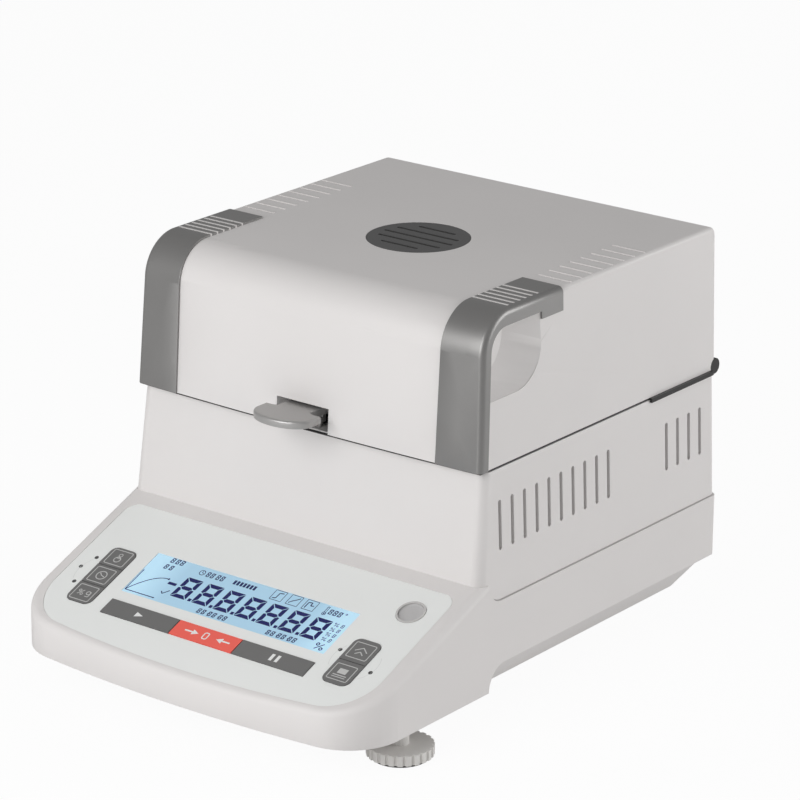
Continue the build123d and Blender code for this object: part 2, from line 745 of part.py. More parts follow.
with BuildPart() as level_cup:
    with BuildSketch(deck.offset(-level_depth)):
        with Locations((level_x, -level_s)):
            Circle(level_r)
    extrude(amount=level_depth + level_proud)
    add(cup_bore.part, mode=Mode.SUBTRACT)
level_cup.part.label = "level_cup"
export_step(level_cup.part, "parts/level_cup.step")

with BuildPart() as level_vial:
    post(level_x, level_point.Y, vial_r, level_point.Z, level_point.Z + vial_height)
level_vial.part.label = "level_vial"
export_step(level_vial.part, "parts/level_vial.step")

# Rear sockets and the mains switch
with BuildPart() as power_inlet:
    flange_half_x = inlet_half_x + flange_margin
    flange_half_z = inlet_half_z + flange_margin
    block((inlet_x - flange_half_x, rear_y, socket_z - flange_half_z),
          (inlet_x + flange_half_x, rear_y + flange_thick, socket_z + flange_half_z))
    block((inlet_x - inlet_half_x, rear_y - inlet_depth, socket_z - inlet_half_z),
          (inlet_x + inlet_half_x, rear_y, socket_z + inlet_half_z))
    well_half_x = inlet_half_x - inlet_wall
    well_half_z = inlet_half_z - inlet_wall
    well_floor_y = rear_y - inlet_depth + inlet_floor
    block((inlet_x - well_half_x, well_floor_y, socket_z - well_half_z),
          (inlet_x + well_half_x, rear_y + 2, socket_z + well_half_z), Mode.SUBTRACT)
    for x, z in inlet_pins:
        block((inlet_x + x - pin_half_width, well_floor_y, socket_z + z - pin_half_height),
              (inlet_x + x + pin_half_width, rear_y - pin_short, socket_z + z + pin_half_height))
power_inlet.part.label = "power_inlet"
export_step(power_inlet.part, "parts/power_inlet.step")

rocker_pivot_y = rear_y - rocker_pivot_depth
with BuildPart() as switch_frame:
    frame_half_x = rocker_half_x + rocker_frame
    frame_half_z = rocker_half_z + rocker_frame
    block((rocker_x - frame_half_x, rear_y - rocker_box_depth, socket_z - frame_half_z),
          (rocker_x + frame_half_x, rear_y + flange_thick, socket_z + frame_half_z))
    block((rocker_x - rocker_half_x, rear_y - rocker_well_depth, socket_z - rocker_half_z),
          (rocker_x + rocker_half_x, rear_y + 2, socket_z + rocker_half_z), Mode.SUBTRACT)
switch_frame.part.label = "switch_frame"
export_step(switch_frame.part, "parts/switch_frame.step")

rocker_reach = rocker_half_z - rocker_gap
with BuildPart() as switch_rocker:
    with BuildSketch(Plane.YZ.offset(rocker_x - rocker_half_x + rocker_gap)):
        with BuildLine():
            Polyline((rocker_pivot_y, socket_z - rocker_half_root),
                     (rear_y + rocker_low_proud, socket_z - rocker_reach + rocker_low_draw),
                     (rear_y + rocker_mid_proud, socket_z),
                     (rear_y + rocker_high_proud, socket_z + rocker_reach - rocker_high_draw),
                     (rocker_pivot_y, socket_z + rocker_half_root), close=True)
        make_face()
    extrude(amount=2 * (rocker_half_x - rocker_gap))
    axle(rocker_pivot_y, socket_z, rocker_axle_r, rocker_x - rocker_half_x, rocker_x + rocker_half_x)
switch_rocker.part.label = "switch_rocker"
export_step(switch_rocker.part, "parts/switch_rocker.step")

with BuildPart() as serial_port:
    block((port_x - port_half_x, rear_y - port_depth, socket_z - port_half_z),
          (port_x + port_half_x, rear_y + 0.5, socket_z + port_half_z))
    block((port_x - plug_half_x, rear_y, socket_z - plug_half_z),
          (port_x + plug_half_x, rear_y + plug_proud, socket_z + plug_half_z))
    block((port_x - plug_half_x + plug_wall, rear_y - plug_well, socket_z - plug_half_z + plug_wall),
          (port_x + plug_half_x - plug_wall, rear_y + plug_proud + 1, socket_z + plug_half_z - plug_wall),
          Mode.SUBTRACT)
serial_port.part.label = "serial_port"
export_step(serial_port.part, "parts/serial_port.step")

# Feet: levelling wheels with rubber pads at the front, rubber feet at the rear
for side, word in ((-1, "left"), (1, "right")):
    with BuildPart() as foot_wheel:
        with BuildSketch(Plane.XY.offset(foot_pad_thick)):
            with Locations((side * foot_x, foot_y)):
                Circle(foot_r)
                with PolarLocations(foot_r, foot_flutes):
                    RegularPolygon(flute_r, 6, mode=Mode.SUBTRACT)
        extrude(amount=foot_wheel_height)
        post(side * foot_x, foot_y, stem_r, wheel_top_z, stem_top_z)
    foot_wheel.part.label = f"foot_wheel_{word}"
    export_step(foot_wheel.part, f"parts/foot_wheel_{word}.step")

    with BuildPart() as foot_pad:
        post(side * foot_x, foot_y, foot_pad_r, 0, foot_pad_thick)
    foot_pad.part.label = f"foot_pad_{word}"
    export_step(foot_pad.part, f"parts/foot_pad_{word}.step")

    with BuildPart() as rear_foot:
        with Locations((side * rear_foot_x, rear_foot_y, 0)):
            Cone(rear_foot_r - 1.5, rear_foot_r, tray_z, align=bottom_up)
        post(side * rear_foot_x, rear_foot_y, rear_foot_plug_r, tray_z, tray_floor_z + 1.5)
    rear_foot.part.label = f"rear_foot_{word}"
    export_step(rear_foot.part, f"parts/rear_foot_{word}.step")


# The front of the lid is crowned about an upright axis far behind it
crown_axis_y = lid_front_y + lid_low_half_width**2 / (2 * lid_crown)
crown_turn = radians(crown_half_angle)
crown_plane = Plane(origin=(0, crown_axis_y, 0), x_dir=(sin(crown_turn), cos(crown_turn), 0),
                    z_dir=(cos(crown_turn), -sin(crown_turn), 0))


# Outer form of the lid, grown outward by some amount: its side view turned about the crown axis, then cut
# to the drawn-in sides and the flat rear
def lid_form(grow, low_z):
    lean = radians(lid_front_lean)
    draft = (lid_low_half_width - lid_high_half_width) / (lid_top_z - seam_z)
    top_z = lid_top_z + grow
    low_y = lid_front_y - grow + (low_z - seam_z) * tan(lean) - crown_axis_y
    round_r = lid_round + grow
    centre_z = top_z - round_r
    centre_y = lid_front_y - grow + (centre_z - seam_z) * tan(lean) + round_r / cos(lean) - crown_axis_y
    back_y = rear_y + 2 * lid_round - crown_axis_y
    with BuildPart() as form:
        with BuildSketch(crown_plane):
            with BuildLine():
                Polyline((centre_y - round_r * cos(lean), centre_z + round_r * sin(lean)), (low_y, low_z),
                         (back_y, low_z), (back_y, top_z), (centre_y, top_z))
                CenterArc((centre_y, centre_z), round_r, 90, 90 - lid_front_lean)
            make_face()
        revolve(axis=Axis((0, crown_axis_y, 0), (0, 0, 1)), revolution_arc=2 * crown_half_angle)
        low_half = lid_low_half_width + grow - draft * (low_z - seam_z)
        high_half = lid_low_half_width + grow - draft * (top_z - seam_z)
        with BuildSketch(Plane.XZ.offset(-rear_y - grow)):
            with BuildLine():
                Polyline((-low_half, low_z), (low_half, low_z), (high_half, top_z), (-high_half, top_z),
                         close=True)
            make_face()
        extrude(amount=overall_depth, mode=Mode.INTERSECT)
        fillet(form.faces().sort_by(Axis.Y)[-1].edges().sort_by(Axis.Z)[-1], lid_rear_r + grow)
        if lid_edge_r + grow > 0:
            outer_x = lid_high_half_width - 2 * lid_edge_r
            sides = form.edges().filter_by(lambda edge: abs(edge.center().X) > outer_x)
            fillet(sides.filter_by(lambda edge: edge.center().Z > low_z + 1), lid_edge_r + grow)
    return form.part


# Scoop of a finger recess with walls of a given thickness, on one side of the lid
def grip_scoop(side, wall):
    outlines = []
    shapes = ((grip_face_x, grip_rear_y, grip_low_z, grip_corner_r),
              (grip_face_x - grip_depth - wall, grip_deep_rear_y, grip_deep_low_z, grip_deep_corner_r))
    for x, rear, low, corner in shapes:
        with BuildSketch(Plane.YZ.offset(side * x)) as outline:
            with BuildLine():
                centre = (rear - corner, low + corner)
                Polyline((rear + wall, centre[1]), (rear + wall, guard_rail_z + wall),
                         (grip_front_y - wall, guard_rail_z + wall), (grip_front_y - wall, low - wall),
                         (centre[0], low - wall))
                CenterArc(centre, corner + wall, -90, 90)
            make_face()
        outlines.append(outline.sketch)
    with BuildPart() as scoop:
        loft(sections=outlines, ruled=True)
        extrude(outlines[0], amount=4 * side)
    return scoop.part


# Ribs across the top of the lid, and those that show through the corner guards
def rib_row(first_y, pitch, count, low_x, top_z):
    for side in (-1, 1):
        for i in range(count):
            y = first_y + i * pitch
            near_x, far_x = sorted((side * low_x, side * rib_outer_x))
            block((near_x, y - rib_width / 2, lid_top_z - guard_depth), (far_x, y + rib_width / 2, top_z))


guard_top_z = lid_top_z + guard_proud
with BuildPart() as guard_ribs:
    rib_row(guard_rib_first_y, guard_rib_pitch, guard_rib_count, guard_inner_x, guard_top_z + rib_height / 2)

band_y = lid_front_y + lid_crown - guard_proud + guard_band
with BuildPart() as guard_window:
    with BuildSketch(Plane.YZ) as window_side:
        with BuildLine():
            Polyline((band_y, seam_z),
                     (band_y + (guard_rail_z - seam_z) * tan(radians(lid_front_lean)), guard_rail_z),
                     (guard_heel_y, guard_rail_z), (guard_heel_y, guard_heel_z), (guard_rear_y, guard_heel_z),
                     (guard_rear_y, seam_z), close=True)
        make_face()
        fillet(window_side.vertices().sort_by(Axis.X)[:2].sort_by(Axis.Y)[-1], guard_bend_r)
    extrude(amount=lid_low_half_width + 5, both=True)

guard_skin = lid_form(guard_proud, seam_z)
guard_core = lid_form(-guard_depth, seam_z - 1)
guards = {}
for side, word in ((-1, "left"), (1, "right")):
    with BuildPart() as lid_guard:
        low_x, high_x = sorted((side * guard_inner_x, side * (lid_low_half_width + 5)))
        block((low_x, lid_front_y - 5, seam_z), (high_x, guard_rear_y, guard_top_z))
        add(guard_skin, mode=Mode.INTERSECT)
        add(guard_core, mode=Mode.SUBTRACT)
        add(guard_window.part, mode=Mode.SUBTRACT)
        add(guard_ribs.part, mode=Mode.SUBTRACT)
    lid_guard.part.label = f"lid_guard_{word}"
    export_step(lid_guard.part, f"parts/lid_guard_{word}.step")
    guards[word] = lid_guard.part

lid_skin = lid_form(0, seam_z)
lid_core = lid_form(-lid_wall, seam_z - 1)
with BuildPart() as grip_cups:
    for side in (-1, 1):
        add(grip_scoop(side, grip_wall))
    add(lid_skin, mode=Mode.INTERSECT)

with BuildPart() as lid_shell:
    add(lid_skin)
    add(lid_core, mode=Mode.SUBTRACT)
    add(grip_cups.part)
    for side in (-1, 1):
        add(grip_scoop(side, 0), mode=Mode.SUBTRACT)
    for guard in guards.values():
        add(guard, mode=Mode.SUBTRACT)
    add(guard_ribs.part)
    rib_row(lid_rib_first_y, lid_rib_pitch, lid_rib_count, lid_rib_inner_x, lid_top_z + rib_height)
    block((-notch_half_width, lid_front_y - 2, seam_z - 1),
          (notch_half_width, lid_front_y + 2 * lid_wall, seam_z + notch_height), Mode.SUBTRACT)
    post(0, pan_y, grille_r, lid_top_z - grille_thick, lid_top_z + 1, Mode.SUBTRACT)
    post(0, pan_y, grille_r - grille_seat, lid_top_z - 2 * lid_wall, lid_top_z, Mode.SUBTRACT)
    axle(hinge_y, hinge_z, knuckle_r + knuckle_clearance, -base_half_width, base_half_width, Mode.SUBTRACT)
    for side in (-1, 1):
        ear_x = notch_half_width + ear_gap
        low_x, high_x = sorted((side * ear_x, side * (ear_x + ear_thick)))
        block((low_x, lid_front_y + lid_wall, tab_top_z - 6), (high_x, tab_pivot_y + 4, tab_top_z + 3))
    axle(tab_pivot_y, tab_top_z - tab_thick / 2, latch_pin_r, -notch_half_width - 5, notch_half_width + 5,
         Mode.SUBTRACT)
lid_shell.part.label = "lid_shell"
export_step(lid_shell.part, "parts/lid_shell.step")

# Grille with slots across it
with BuildPart() as top_grille:
    post(0, pan_y, grille_r - grille_gap, lid_top_z - grille_thick, lid_top_z)
    with BuildSketch(Plane.XY.offset(lid_top_z - grille_thick)):
        for row, reach in grille_slots:
            for way in ((-1, 1) if row else (1,)):
                with Locations((0, pan_y + way * row * grille_slot_pitch)):
                    SlotOverall(2 * reach, grille_slot_width)
    extrude(amount=grille_thick, mode=Mode.SUBTRACT)
top_grille.part.label = "top_grille"
export_step(top_grille.part, "parts/top_grille.step")

# Lamp unit: liner, ring and glass below, reflector, lamp and duct above
liner_top_z = liner_z + liner_thick
with BuildPart() as lid_liner:
    half_x = lid_low_half_width - lid_wall - liner_gap
    block((-half_x, liner_front_y, liner_z), (half_x, liner_rear_y, liner_top_z))
    post(0, pan_y, liner_opening_r, liner_z - 1, liner_top_z + 1, Mode.SUBTRACT)
lid_liner.part.label = "lid_liner"
export_step(lid_liner.part, "parts/lid_liner.step")

glass_z = liner_top_z + glass_ring_height
with BuildPart() as glass_ring:
    post(0, pan_y, glass_ring_outer_r, liner_top_z, glass_z)
    post(0, pan_y, glass_ring_inner_r, liner_top_z, glass_z, Mode.SUBTRACT)
    with Locations((glass_ring_inner_r + 5, pan_y, liner_top_z + glass_ring_height / 2)):
        Cylinder(probe_r + pin_clearance, 20, rotation=(0, 90, 0), mode=Mode.SUBTRACT)
glass_ring.part.label = "glass_ring"
export_step(glass_ring.part, "parts/glass_ring.step")

with BuildPart() as lamp_glass:
    post(0, pan_y, glass_r, glass_z, glass_z + glass_thick)
lamp_glass.part.label = "lamp_glass"
export_step(lamp_glass.part, "parts/lamp_glass.step")

with BuildPart() as temperature_probe:
    axle(pan_y, liner_top_z + glass_ring_height / 2, probe_r, probe_inner_r, glass_ring_outer_r - 1)
temperature_probe.part.label = "temperature_probe"
export_step(temperature_probe.part, "parts/temperature_probe.step")

# Forms turned about the weighing axis, from half outlines in a plane through it
pan_section = Plane(origin=(0, pan_y, 0), x_dir=(1, 0, 0), z_dir=(0, -1, 0))
pan_axis = Axis((0, pan_y, 0), (0, 0, 1))
duct_inner_r = grille_r - grille_seat
with BuildPart() as reflector:
    with BuildSketch(pan_section):
        with BuildLine():
            Polyline((reflector_flange_r, liner_top_z),
                     (reflector_flange_r, liner_top_z + reflector_sheet),
                     (reflector_r + reflector_sheet, liner_top_z + reflector_sheet),
                     (reflector_r + reflector_sheet, reflector_bend_z),
                     (duct_inner_r + 5, reflector_top_z), (duct_inner_r, reflector_top_z),
                     (duct_inner_r, reflector_top_z - reflector_sheet),
                     (duct_inner_r + 4, reflector_top_z - reflector_sheet),
                     (reflector_r, reflector_bend_z - reflector_sheet),
                     (reflector_r, liner_top_z), close=True)
        make_face()
    revolve(axis=pan_axis)
reflector.part.label = "reflector"
export_step(reflector.part, "parts/reflector.step")

with BuildPart() as halogen_lamp:
    with BuildSketch(pan_section):
        with Locations((lamp_ring_r, lamp_z)):
            Circle(lamp_tube_r)
    revolve(axis=pan_axis)
halogen_lamp.part.label = "halogen_lamp"
export_step(halogen_lamp.part, "parts/halogen_lamp.step")

with BuildPart() as lamp_sockets:
    low_r = lamp_ring_r + lamp_tube_r + 0.1
    high_r = reflector_r - reflector_sheet
    with Locations((0, pan_y, lamp_z)):
        with PolarLocations((low_r + high_r) / 2, 3, 90):
            Box(high_r - low_r, socket_width, socket_height)
lamp_sockets.part.label = "lamp_sockets"
export_step(lamp_sockets.part, "parts/lamp_sockets.step")

with BuildPart() as vent_duct:
    post(0, pan_y, duct_inner_r + duct_wall, reflector_top_z, lid_top_z - lid_wall)
    post(0, pan_y, duct_inner_r, reflector_top_z, lid_top_z - lid_wall, Mode.SUBTRACT)
vent_duct.part.label = "vent_duct"
export_step(vent_duct.part, "parts/vent_duct.step")

# Hinge: knuckles on the rear rail, leaves inside the lid and a pin on each side
with BuildPart() as hinge_trim:
    add(trim_form.part)
    axle(hinge_y, hinge_z, knuckle_r + knuckle_clearance, -base_half_width - 5, base_half_width + 5,
         Mode.SUBTRACT)
    for side in (-1, 1):
        low_x, high_x = sorted((side * fixed_knuckle_inner_x, side * knuckle_outer_x))
        axle(hinge_y, hinge_z, knuckle_r, low_x, high_x)
        block((low_x, rear_y - trim_inset, seam_z - trim_thick), (high_x, hinge_y, seam_z))
        low_x, high_x = sorted((side * lid_knuckle_inner_x, side * (knuckle_outer_x - 4)))
        axle(hinge_y, hinge_z, hinge_pin_r + pin_clearance, low_x, high_x, Mode.SUBTRACT)
hinge_trim.part.label = "hinge_trim"
export_step(hinge_trim.part, "parts/hinge_trim.step")

for side, word in ((-1, "left"), (1, "right")):
    low_x, high_x = sorted((side * lid_knuckle_inner_x, side * (fixed_knuckle_inner_x - knuckle_gap)))
    leaf_rear_y = rear_y - lid_wall - leaf_gap
    web_low_z = seam_z + leaf_gap
    with BuildPart() as hinge_leaf:
        axle(hinge_y, hinge_z, knuckle_r, low_x, high_x)
        block((low_x, leaf_rear_y - leaf_thick, web_low_z), (high_x, hinge_y, web_low_z + leaf_web_thick))
        block((low_x, leaf_rear_y - leaf_thick, web_low_z), (high_x, leaf_rear_y, leaf_top_z))
        axle(hinge_y, hinge_z, hinge_pin_r + pin_clearance, low_x - 1, high_x + 1, Mode.SUBTRACT)
    hinge_leaf.part.label = f"hinge_leaf_{word}"
    export_step(hinge_leaf.part, f"parts/hinge_leaf_{word}.step")

    low_x, high_x = sorted((side * (lid_knuckle_inner_x + 2), side * (knuckle_outer_x - 5)))
    with BuildPart() as hinge_pin:
        axle(hinge_y, hinge_z, hinge_pin_r, low_x, high_x)
    hinge_pin.part.label = f"hinge_pin_{word}"
    export_step(hinge_pin.part, f"parts/hinge_pin_{word}.step")

# Latch tab: a thumb plate in front of the lid, a neck through the notch and a nose behind it
tab_pivot_z = tab_top_z - tab_thick / 2
with BuildPart() as latch_tab:
    with BuildSketch(Plane.XY.offset(tab_top_z - tab_thick)) as tab_plan:
        with Locations((0, tab_front_y + tab_nose_length)):
            Ellipse(tab_half_width, tab_nose_length)
        with Locations((0, (tab_front_y + tab_nose_length + tab_rear_y) / 2)):
            Rectangle(2 * tab_half_width, tab_rear_y - tab_front_y - tab_nose_length)
        fillet(tab_plan.vertices().sort_by(Axis.Y)[-2:], tab_corner_r)
    extrude(amount=tab_thick)
    fillet(latch_tab.faces().sort_by(Axis.Z)[-1].edges(), tab_edge_r)
    block((-tab_neck_half_width, tab_rear_y - 1, tab_top_z - tab_thick),
          (tab_neck_half_width, tab_pivot_y, tab_top_z))
    block((-tab_barrel_half_width, tab_pivot_y - tab_thick, tab_top_z - tab_thick),
          (tab_barrel_half_width, tab_pivot_y, tab_top_z))
    axle(tab_pivot_y, tab_pivot_z, tab_barrel_r, -tab_barrel_half_width, tab_barrel_half_width)
    block((-nose_half_width, tab_pivot_y - nose_thick, nose_low_z),
          (nose_half_width, tab_pivot_y, tab_pivot_z))
    axle(tab_pivot_y, tab_pivot_z, latch_pin_r + pin_clearance, -tab_half_width, tab_half_width,
         Mode.SUBTRACT)
latch_tab.part.label = "latch_tab"
export_step(latch_tab.part, "parts/latch_tab.step")

pin_reach = notch_half_width + ear_gap + ear_thick
with BuildPart() as latch_pin:
    axle(tab_pivot_y, tab_pivot_z, latch_pin_r, -pin_reach, pin_reach)
latch_pin.part.label = "latch_pin"
export_step(latch_pin.part, "parts/latch_pin.step")

catch_rear_y = tab_pivot_y - nose_thick - catch_gap
with BuildPart() as latch_catch:
    block((-nose_half_width, catch_rear_y - catch_thick, housing_top_z),
          (nose_half_width, catch_rear_y, catch_top_z))
latch_catch.part.label = "latch_catch"
export_step(latch_catch.part, "parts/latch_catch.step")
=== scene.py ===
"""Looks of a benchtop moisture analyzer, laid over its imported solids."""

from math import cos, pi, radians, sin, sqrt

import bmesh
import bpy
from bpy.props import FloatProperty, FloatVectorProperty, IntProperty, PointerProperty
from mathutils import Matrix, Vector


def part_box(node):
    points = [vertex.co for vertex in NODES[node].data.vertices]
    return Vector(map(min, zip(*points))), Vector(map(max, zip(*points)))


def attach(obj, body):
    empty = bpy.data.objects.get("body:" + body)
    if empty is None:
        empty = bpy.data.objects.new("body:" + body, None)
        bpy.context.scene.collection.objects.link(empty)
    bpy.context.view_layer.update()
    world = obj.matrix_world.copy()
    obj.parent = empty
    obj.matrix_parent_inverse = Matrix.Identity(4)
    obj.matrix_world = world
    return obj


bl_info = {
    "name": "Moisture Analyzer Dressing",
    "version": (1, 0, 0),
    "blender": (4, 5, 0),
    "location": "3D View > Sidebar > Analyzer",
    "description": "Finishes, printed panel, display figures, fasteners and studio for a moisture analyzer",
    "category": "Object",
}

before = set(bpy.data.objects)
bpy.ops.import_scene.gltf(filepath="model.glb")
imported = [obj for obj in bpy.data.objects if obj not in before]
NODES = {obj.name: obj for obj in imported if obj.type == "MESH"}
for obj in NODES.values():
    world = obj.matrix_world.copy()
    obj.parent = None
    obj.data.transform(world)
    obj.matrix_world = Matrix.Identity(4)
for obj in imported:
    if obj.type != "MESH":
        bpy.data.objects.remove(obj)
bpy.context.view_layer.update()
MM = 0.001

# The sloping deck: where it starts, and its directions across, up the slope and out of it
DECK_TILT = radians(22.0)
DECK_START = Vector((0.0, -0.0525, 0.0704))
DECK_ACROSS = Vector((1.0, 0.0, 0.0))
DECK_UP = Vector((0.0, cos(DECK_TILT), sin(DECK_TILT)))
DECK_OUT = Vector((0.0, -sin(DECK_TILT), cos(DECK_TILT)))

# Heights out of the deck, in millimetres: the display's window, the tops of the keys, the panel's film,
# half the thickness of a print and how far a key's sign stands proud
SCREEN_FACE = -0.3
KEY_FACE = 0.3
PANEL_FACE = -0.1
INK = 0.02
SIGN_PROUD = 0.03

# Rows down the slope of the deck, in millimetres
LEVEL_ROW = 25.0
FIGURE_ROW = 50.7
TIME_ROW = 61.2
KEY_ROW = 75.0

# Large figures of the display: middle of the first, pitch, width, thickness of a bar, lean
FIRST_FIGURE = -31.0
FIGURE_PITCH = 13.0
FIGURE_WIDTH = 9.4
FIGURE_BAR = 2.3
FIGURE_LEAN = 0.06

# Small figures of the display
SMALL_BAR = 0.6
SMALL_LEAN = 0.08
SMALL_ROWS = (
    (36.6, 3.4, 2.0, (-50.4, -47.4, -44.6)),
    (41.4, 3.2, 1.9, (-51.0, -47.8)),
    (38.6, 3.4, 1.9, (-27.0, -24.4, -21.0, -18.4)),
    (38.6, 3.4, 2.0, (46.8, 49.5, 52.2)),
)
PAIR_PITCH = 6.4
PAIR_STEP = 2.7

# Heating profiles in the display's three frames
PROFILES = (
    ((1.2, 5.4), (3.0, 5.0), (3.2, 1.6), (5.6, 1.2)),
    ((1.2, 5.4), (2.6, 3.8), (4.2, 2.6), (5.8, 1.0)),
    ((1.4, 5.6), (1.6, 1.6), (3.6, 1.4), (3.8, 3.4), (5.6, 3.2)),
)

# Half width and half height of the frame on a small key, and how far down the slope
# the middle of its top lies from the middle of its box
KEY_FRAME = (5.9, 5.2)
KEY_SHIFT = 1.55 * sin(DECK_TILT) / cos(DECK_TILT) * 0.9

# Where the camera stands and how it is turned
CAMERA_PLACE = Vector((1.0799, -1.3748, 0.7334))
CAMERA_AZIMUTH = radians(37.688)
CAMERA_ELEVATION = radians(19.195)
CAMERA_ROLL = radians(0.431)

# The lamps, with the setting that holds their power, their places and widths, and the point that they face
LAMP_AIM = Vector((0.0, -0.01, 0.09))
LAMPS = (
    ("front_lamp", "key_power", Vector((-0.34, -1.93, 0.51)), 1.2),
    ("near_lamp", "near_power", Vector((-0.06, -0.75, 0.45)), 0.6),
    ("side_lamp", "fill_power", Vector((1.50, 1.26, 0.51)), 1.2),
)
FLOOR_HALF = 6.0
FLOOR_WHITE = 0.95


class HousingFinish(bpy.types.PropertyGroup):
    """Colours of the moulded housings."""

    white: FloatVectorProperty(
        name="Housing white", description="Colour of the base, chamber and lid mouldings", subtype="COLOR",
        size=3, min=0.0, max=1.0, default=(0.80, 0.775, 0.765))
    # The latch tab and catch take this grey lightened 1.6 times, as painted light
    guard: FloatVectorProperty(
        name="Guard grey", description="Colour of the corner guards and the latch tab", subtype="COLOR",
        size=3, min=0.0, max=1.0, default=(0.285, 0.28, 0.275))
    trim: FloatVectorProperty(
        name="Trim black", description="Colour of the rear rail and the hinge", subtype="COLOR",
        size=3, min=0.0, max=1.0, default=(0.028, 0.027, 0.027))
    edge_round: FloatProperty(
        name="Edge round", description="Radius broken on the edges of the mouldings", subtype="DISTANCE",
        unit="LENGTH", min=0.0, max=0.002, default=0.0003)


class PanelFinish(bpy.types.PropertyGroup):
    """Colours and sizes of the front panel, its keys and its display."""

    film: FloatVectorProperty(
        name="Film", description="Colour of the printed panel film", subtype="COLOR",
        size=3, min=0.0, max=1.0, default=(0.91, 0.925, 0.91))
    key: FloatVectorProperty(
        name="Key grey", description="Colour of the grey keys", subtype="COLOR",
        size=3, min=0.0, max=1.0, default=(0.178, 0.177, 0.175))
    tare: FloatVectorProperty(
        name="Tare red", description="Colour of the tare key", subtype="COLOR",
        size=3, min=0.0, max=1.0, default=(0.97, 0.15, 0.115))
    screen: FloatVectorProperty(
        name="Screen blue", description="Colour of the lit display", subtype="COLOR",
        size=3, min=0.0, max=1.0, default=(0.44, 0.68, 0.86))
    figures: FloatVectorProperty(
        name="Figures", description="Colour of the display's figures", subtype="COLOR",
        size=3, min=0.0, max=1.0, default=(0.008, 0.010, 0.125))
    digit_height: FloatProperty(
        name="Digit height", description="Height of the large figures", subtype="DISTANCE",
        unit="LENGTH", min=0.005, max=0.02, default=0.0141)
    digit_count: IntProperty(
        name="Digits", description="How many large figures the display shows", min=1, max=8, default=7)


class StudioSetup(bpy.types.PropertyGroup):
    """Lens of the camera, powers of the lamps and the even light."""

    lens: FloatProperty(
        name="Lens", description="Focal length of the camera in millimetres",
        min=20.0, max=400.0, default=174.503)
    key_power: FloatProperty(
        name="Front lamp", description="Power of the far lamp before the front, in watts", min=0.0, default=4.5)
    near_power: FloatProperty(
        name="Near lamp", description="Power of the lamp above the deck, in watts", min=0.0, default=2.7)
    fill_power: FloatProperty(
        name="Side lamp", description="Power of the soft lamp at the right, in watts", min=0.0, default=15.5)
    sky: FloatProperty(
        name="Ambient", description="Strength of the even light all round", min=0.0, max=2.0, default=0.355)


# Materials


def blank_material(name):
    """A new material with its surface shader, its node tree and object coordinates."""
    made = bpy.data.materials.new(name)
    made.use_nodes = True
    tree = made.node_tree
    shader = tree.nodes["Principled BSDF"]
    place = tree.nodes.new("ShaderNodeTexCoord")
    return made, tree, shader, place.outputs["Object"]


def grain(tree, place, scale, detail=3.0, stretch=None):
    """Fine noise, stretched along one way if asked."""
    noise = tree.nodes.new("ShaderNodeTexNoise")
    noise.inputs["Scale"].default_value = scale
    noise.inputs["Detail"].default_value = detail
    if stretch:
        mapping = tree.nodes.new("ShaderNodeMapping")
        mapping.inputs["Scale"].default_value = stretch
        tree.links.new(place, mapping.inputs["Vector"])
        place = mapping.outputs["Vector"]
    tree.links.new(place, noise.inputs["Vector"])
    return noise.outputs["Fac"]


def blend_colours(tree, factor, low, high):
    """A colour that runs between two colours with a factor."""
    ramp = tree.nodes.new("ShaderNodeValToRGB")
    ramp.color_ramp.elements[0].position = 0.25
    ramp.color_ramp.elements[1].position = 0.75
    ramp.color_ramp.elements[0].color = (*low, 1.0)
    ramp.color_ramp.elements[1].color = (*high, 1.0)
    tree.links.new(factor, ramp.inputs["Fac"])
    return ramp.outputs["Color"]


def remap(tree, factor, low, high):
    """A value from noise, laid between two limits."""
    node = tree.nodes.new("ShaderNodeMapRange")
    node.inputs["From Min"].default_value = 0.3
    node.inputs["From Max"].default_value = 0.7
    node.inputs["To Min"].default_value = low
    node.inputs["To Max"].default_value = high
    tree.links.new(factor, node.inputs["Value"])
    return node.outputs["Result"]


def bump(tree, shader, height, strength, distance):
    """Fine relief on the surface from a height."""
    node = tree.nodes.new("ShaderNodeBump")
    node.inputs["Strength"].default_value = strength
    node.inputs["Distance"].default_value = distance
    tree.links.new(height, node.inputs["Height"])
    tree.links.new(node.outputs["Normal"], shader.inputs["Normal"])


def moulded(name, colour, rough=0.5, texture=2600.0, relief=0.12, drift=0.03, specular=0.4):
    """Moulded plastic: a spark-eroded skin, slight drift of the colour and of the gloss."""
    made, tree, shader, place = blank_material(name)
    cloud = grain(tree, place, 14.0, 4.0)
    low = tuple(c * (1.0 - drift) for c in colour)
    tree.links.new(blend_colours(tree, cloud, low, colour), shader.inputs["Base Color"])
    skin = grain(tree, place, texture, 2.0)
    tree.links.new(remap(tree, cloud, rough - 0.05, rough + 0.05), shader.inputs["Roughness"])
    bump(tree, shader, skin, relief, 0.00008)
    shader.inputs["Specular IOR Level"].default_value = specular
    return made


def metal(name, colour, rough=0.3, brushed=(1.0, 1.0, 30.0), relief=0.1):
    """Metal sheet or bar with a drawn grain."""
    made, tree, shader, place = blank_material(name)
    lines = grain(tree, place, 120.0, 4.0, brushed)
    low = tuple(c * 0.9 for c in colour)
    tree.links.new(blend_colours(tree, lines, low, colour), shader.inputs["Base Color"])
    tree.links.new(remap(tree, lines, rough - 0.07, rough + 0.1), shader.inputs["Roughness"])
    bump(tree, shader, lines, relief, 0.00005)
    shader.inputs["Metallic"].default_value = 1.0
    return made


def clear(name, tint, alpha, rough=0.06):
    """A thin clear piece that shows what lies under it."""
    made, tree, shader, place = blank_material(name)
    haze = grain(tree, place, 60.0)
    tree.links.new(blend_colours(tree, haze, tuple(c * 0.97 for c in tint), tint), shader.inputs["Base Color"])
    tree.links.new(remap(tree, haze, rough, rough + 0.04), shader.inputs["Roughness"])
    shader.inputs["Alpha"].default_value = alpha
    made.surface_render_method = "BLENDED"
    return made


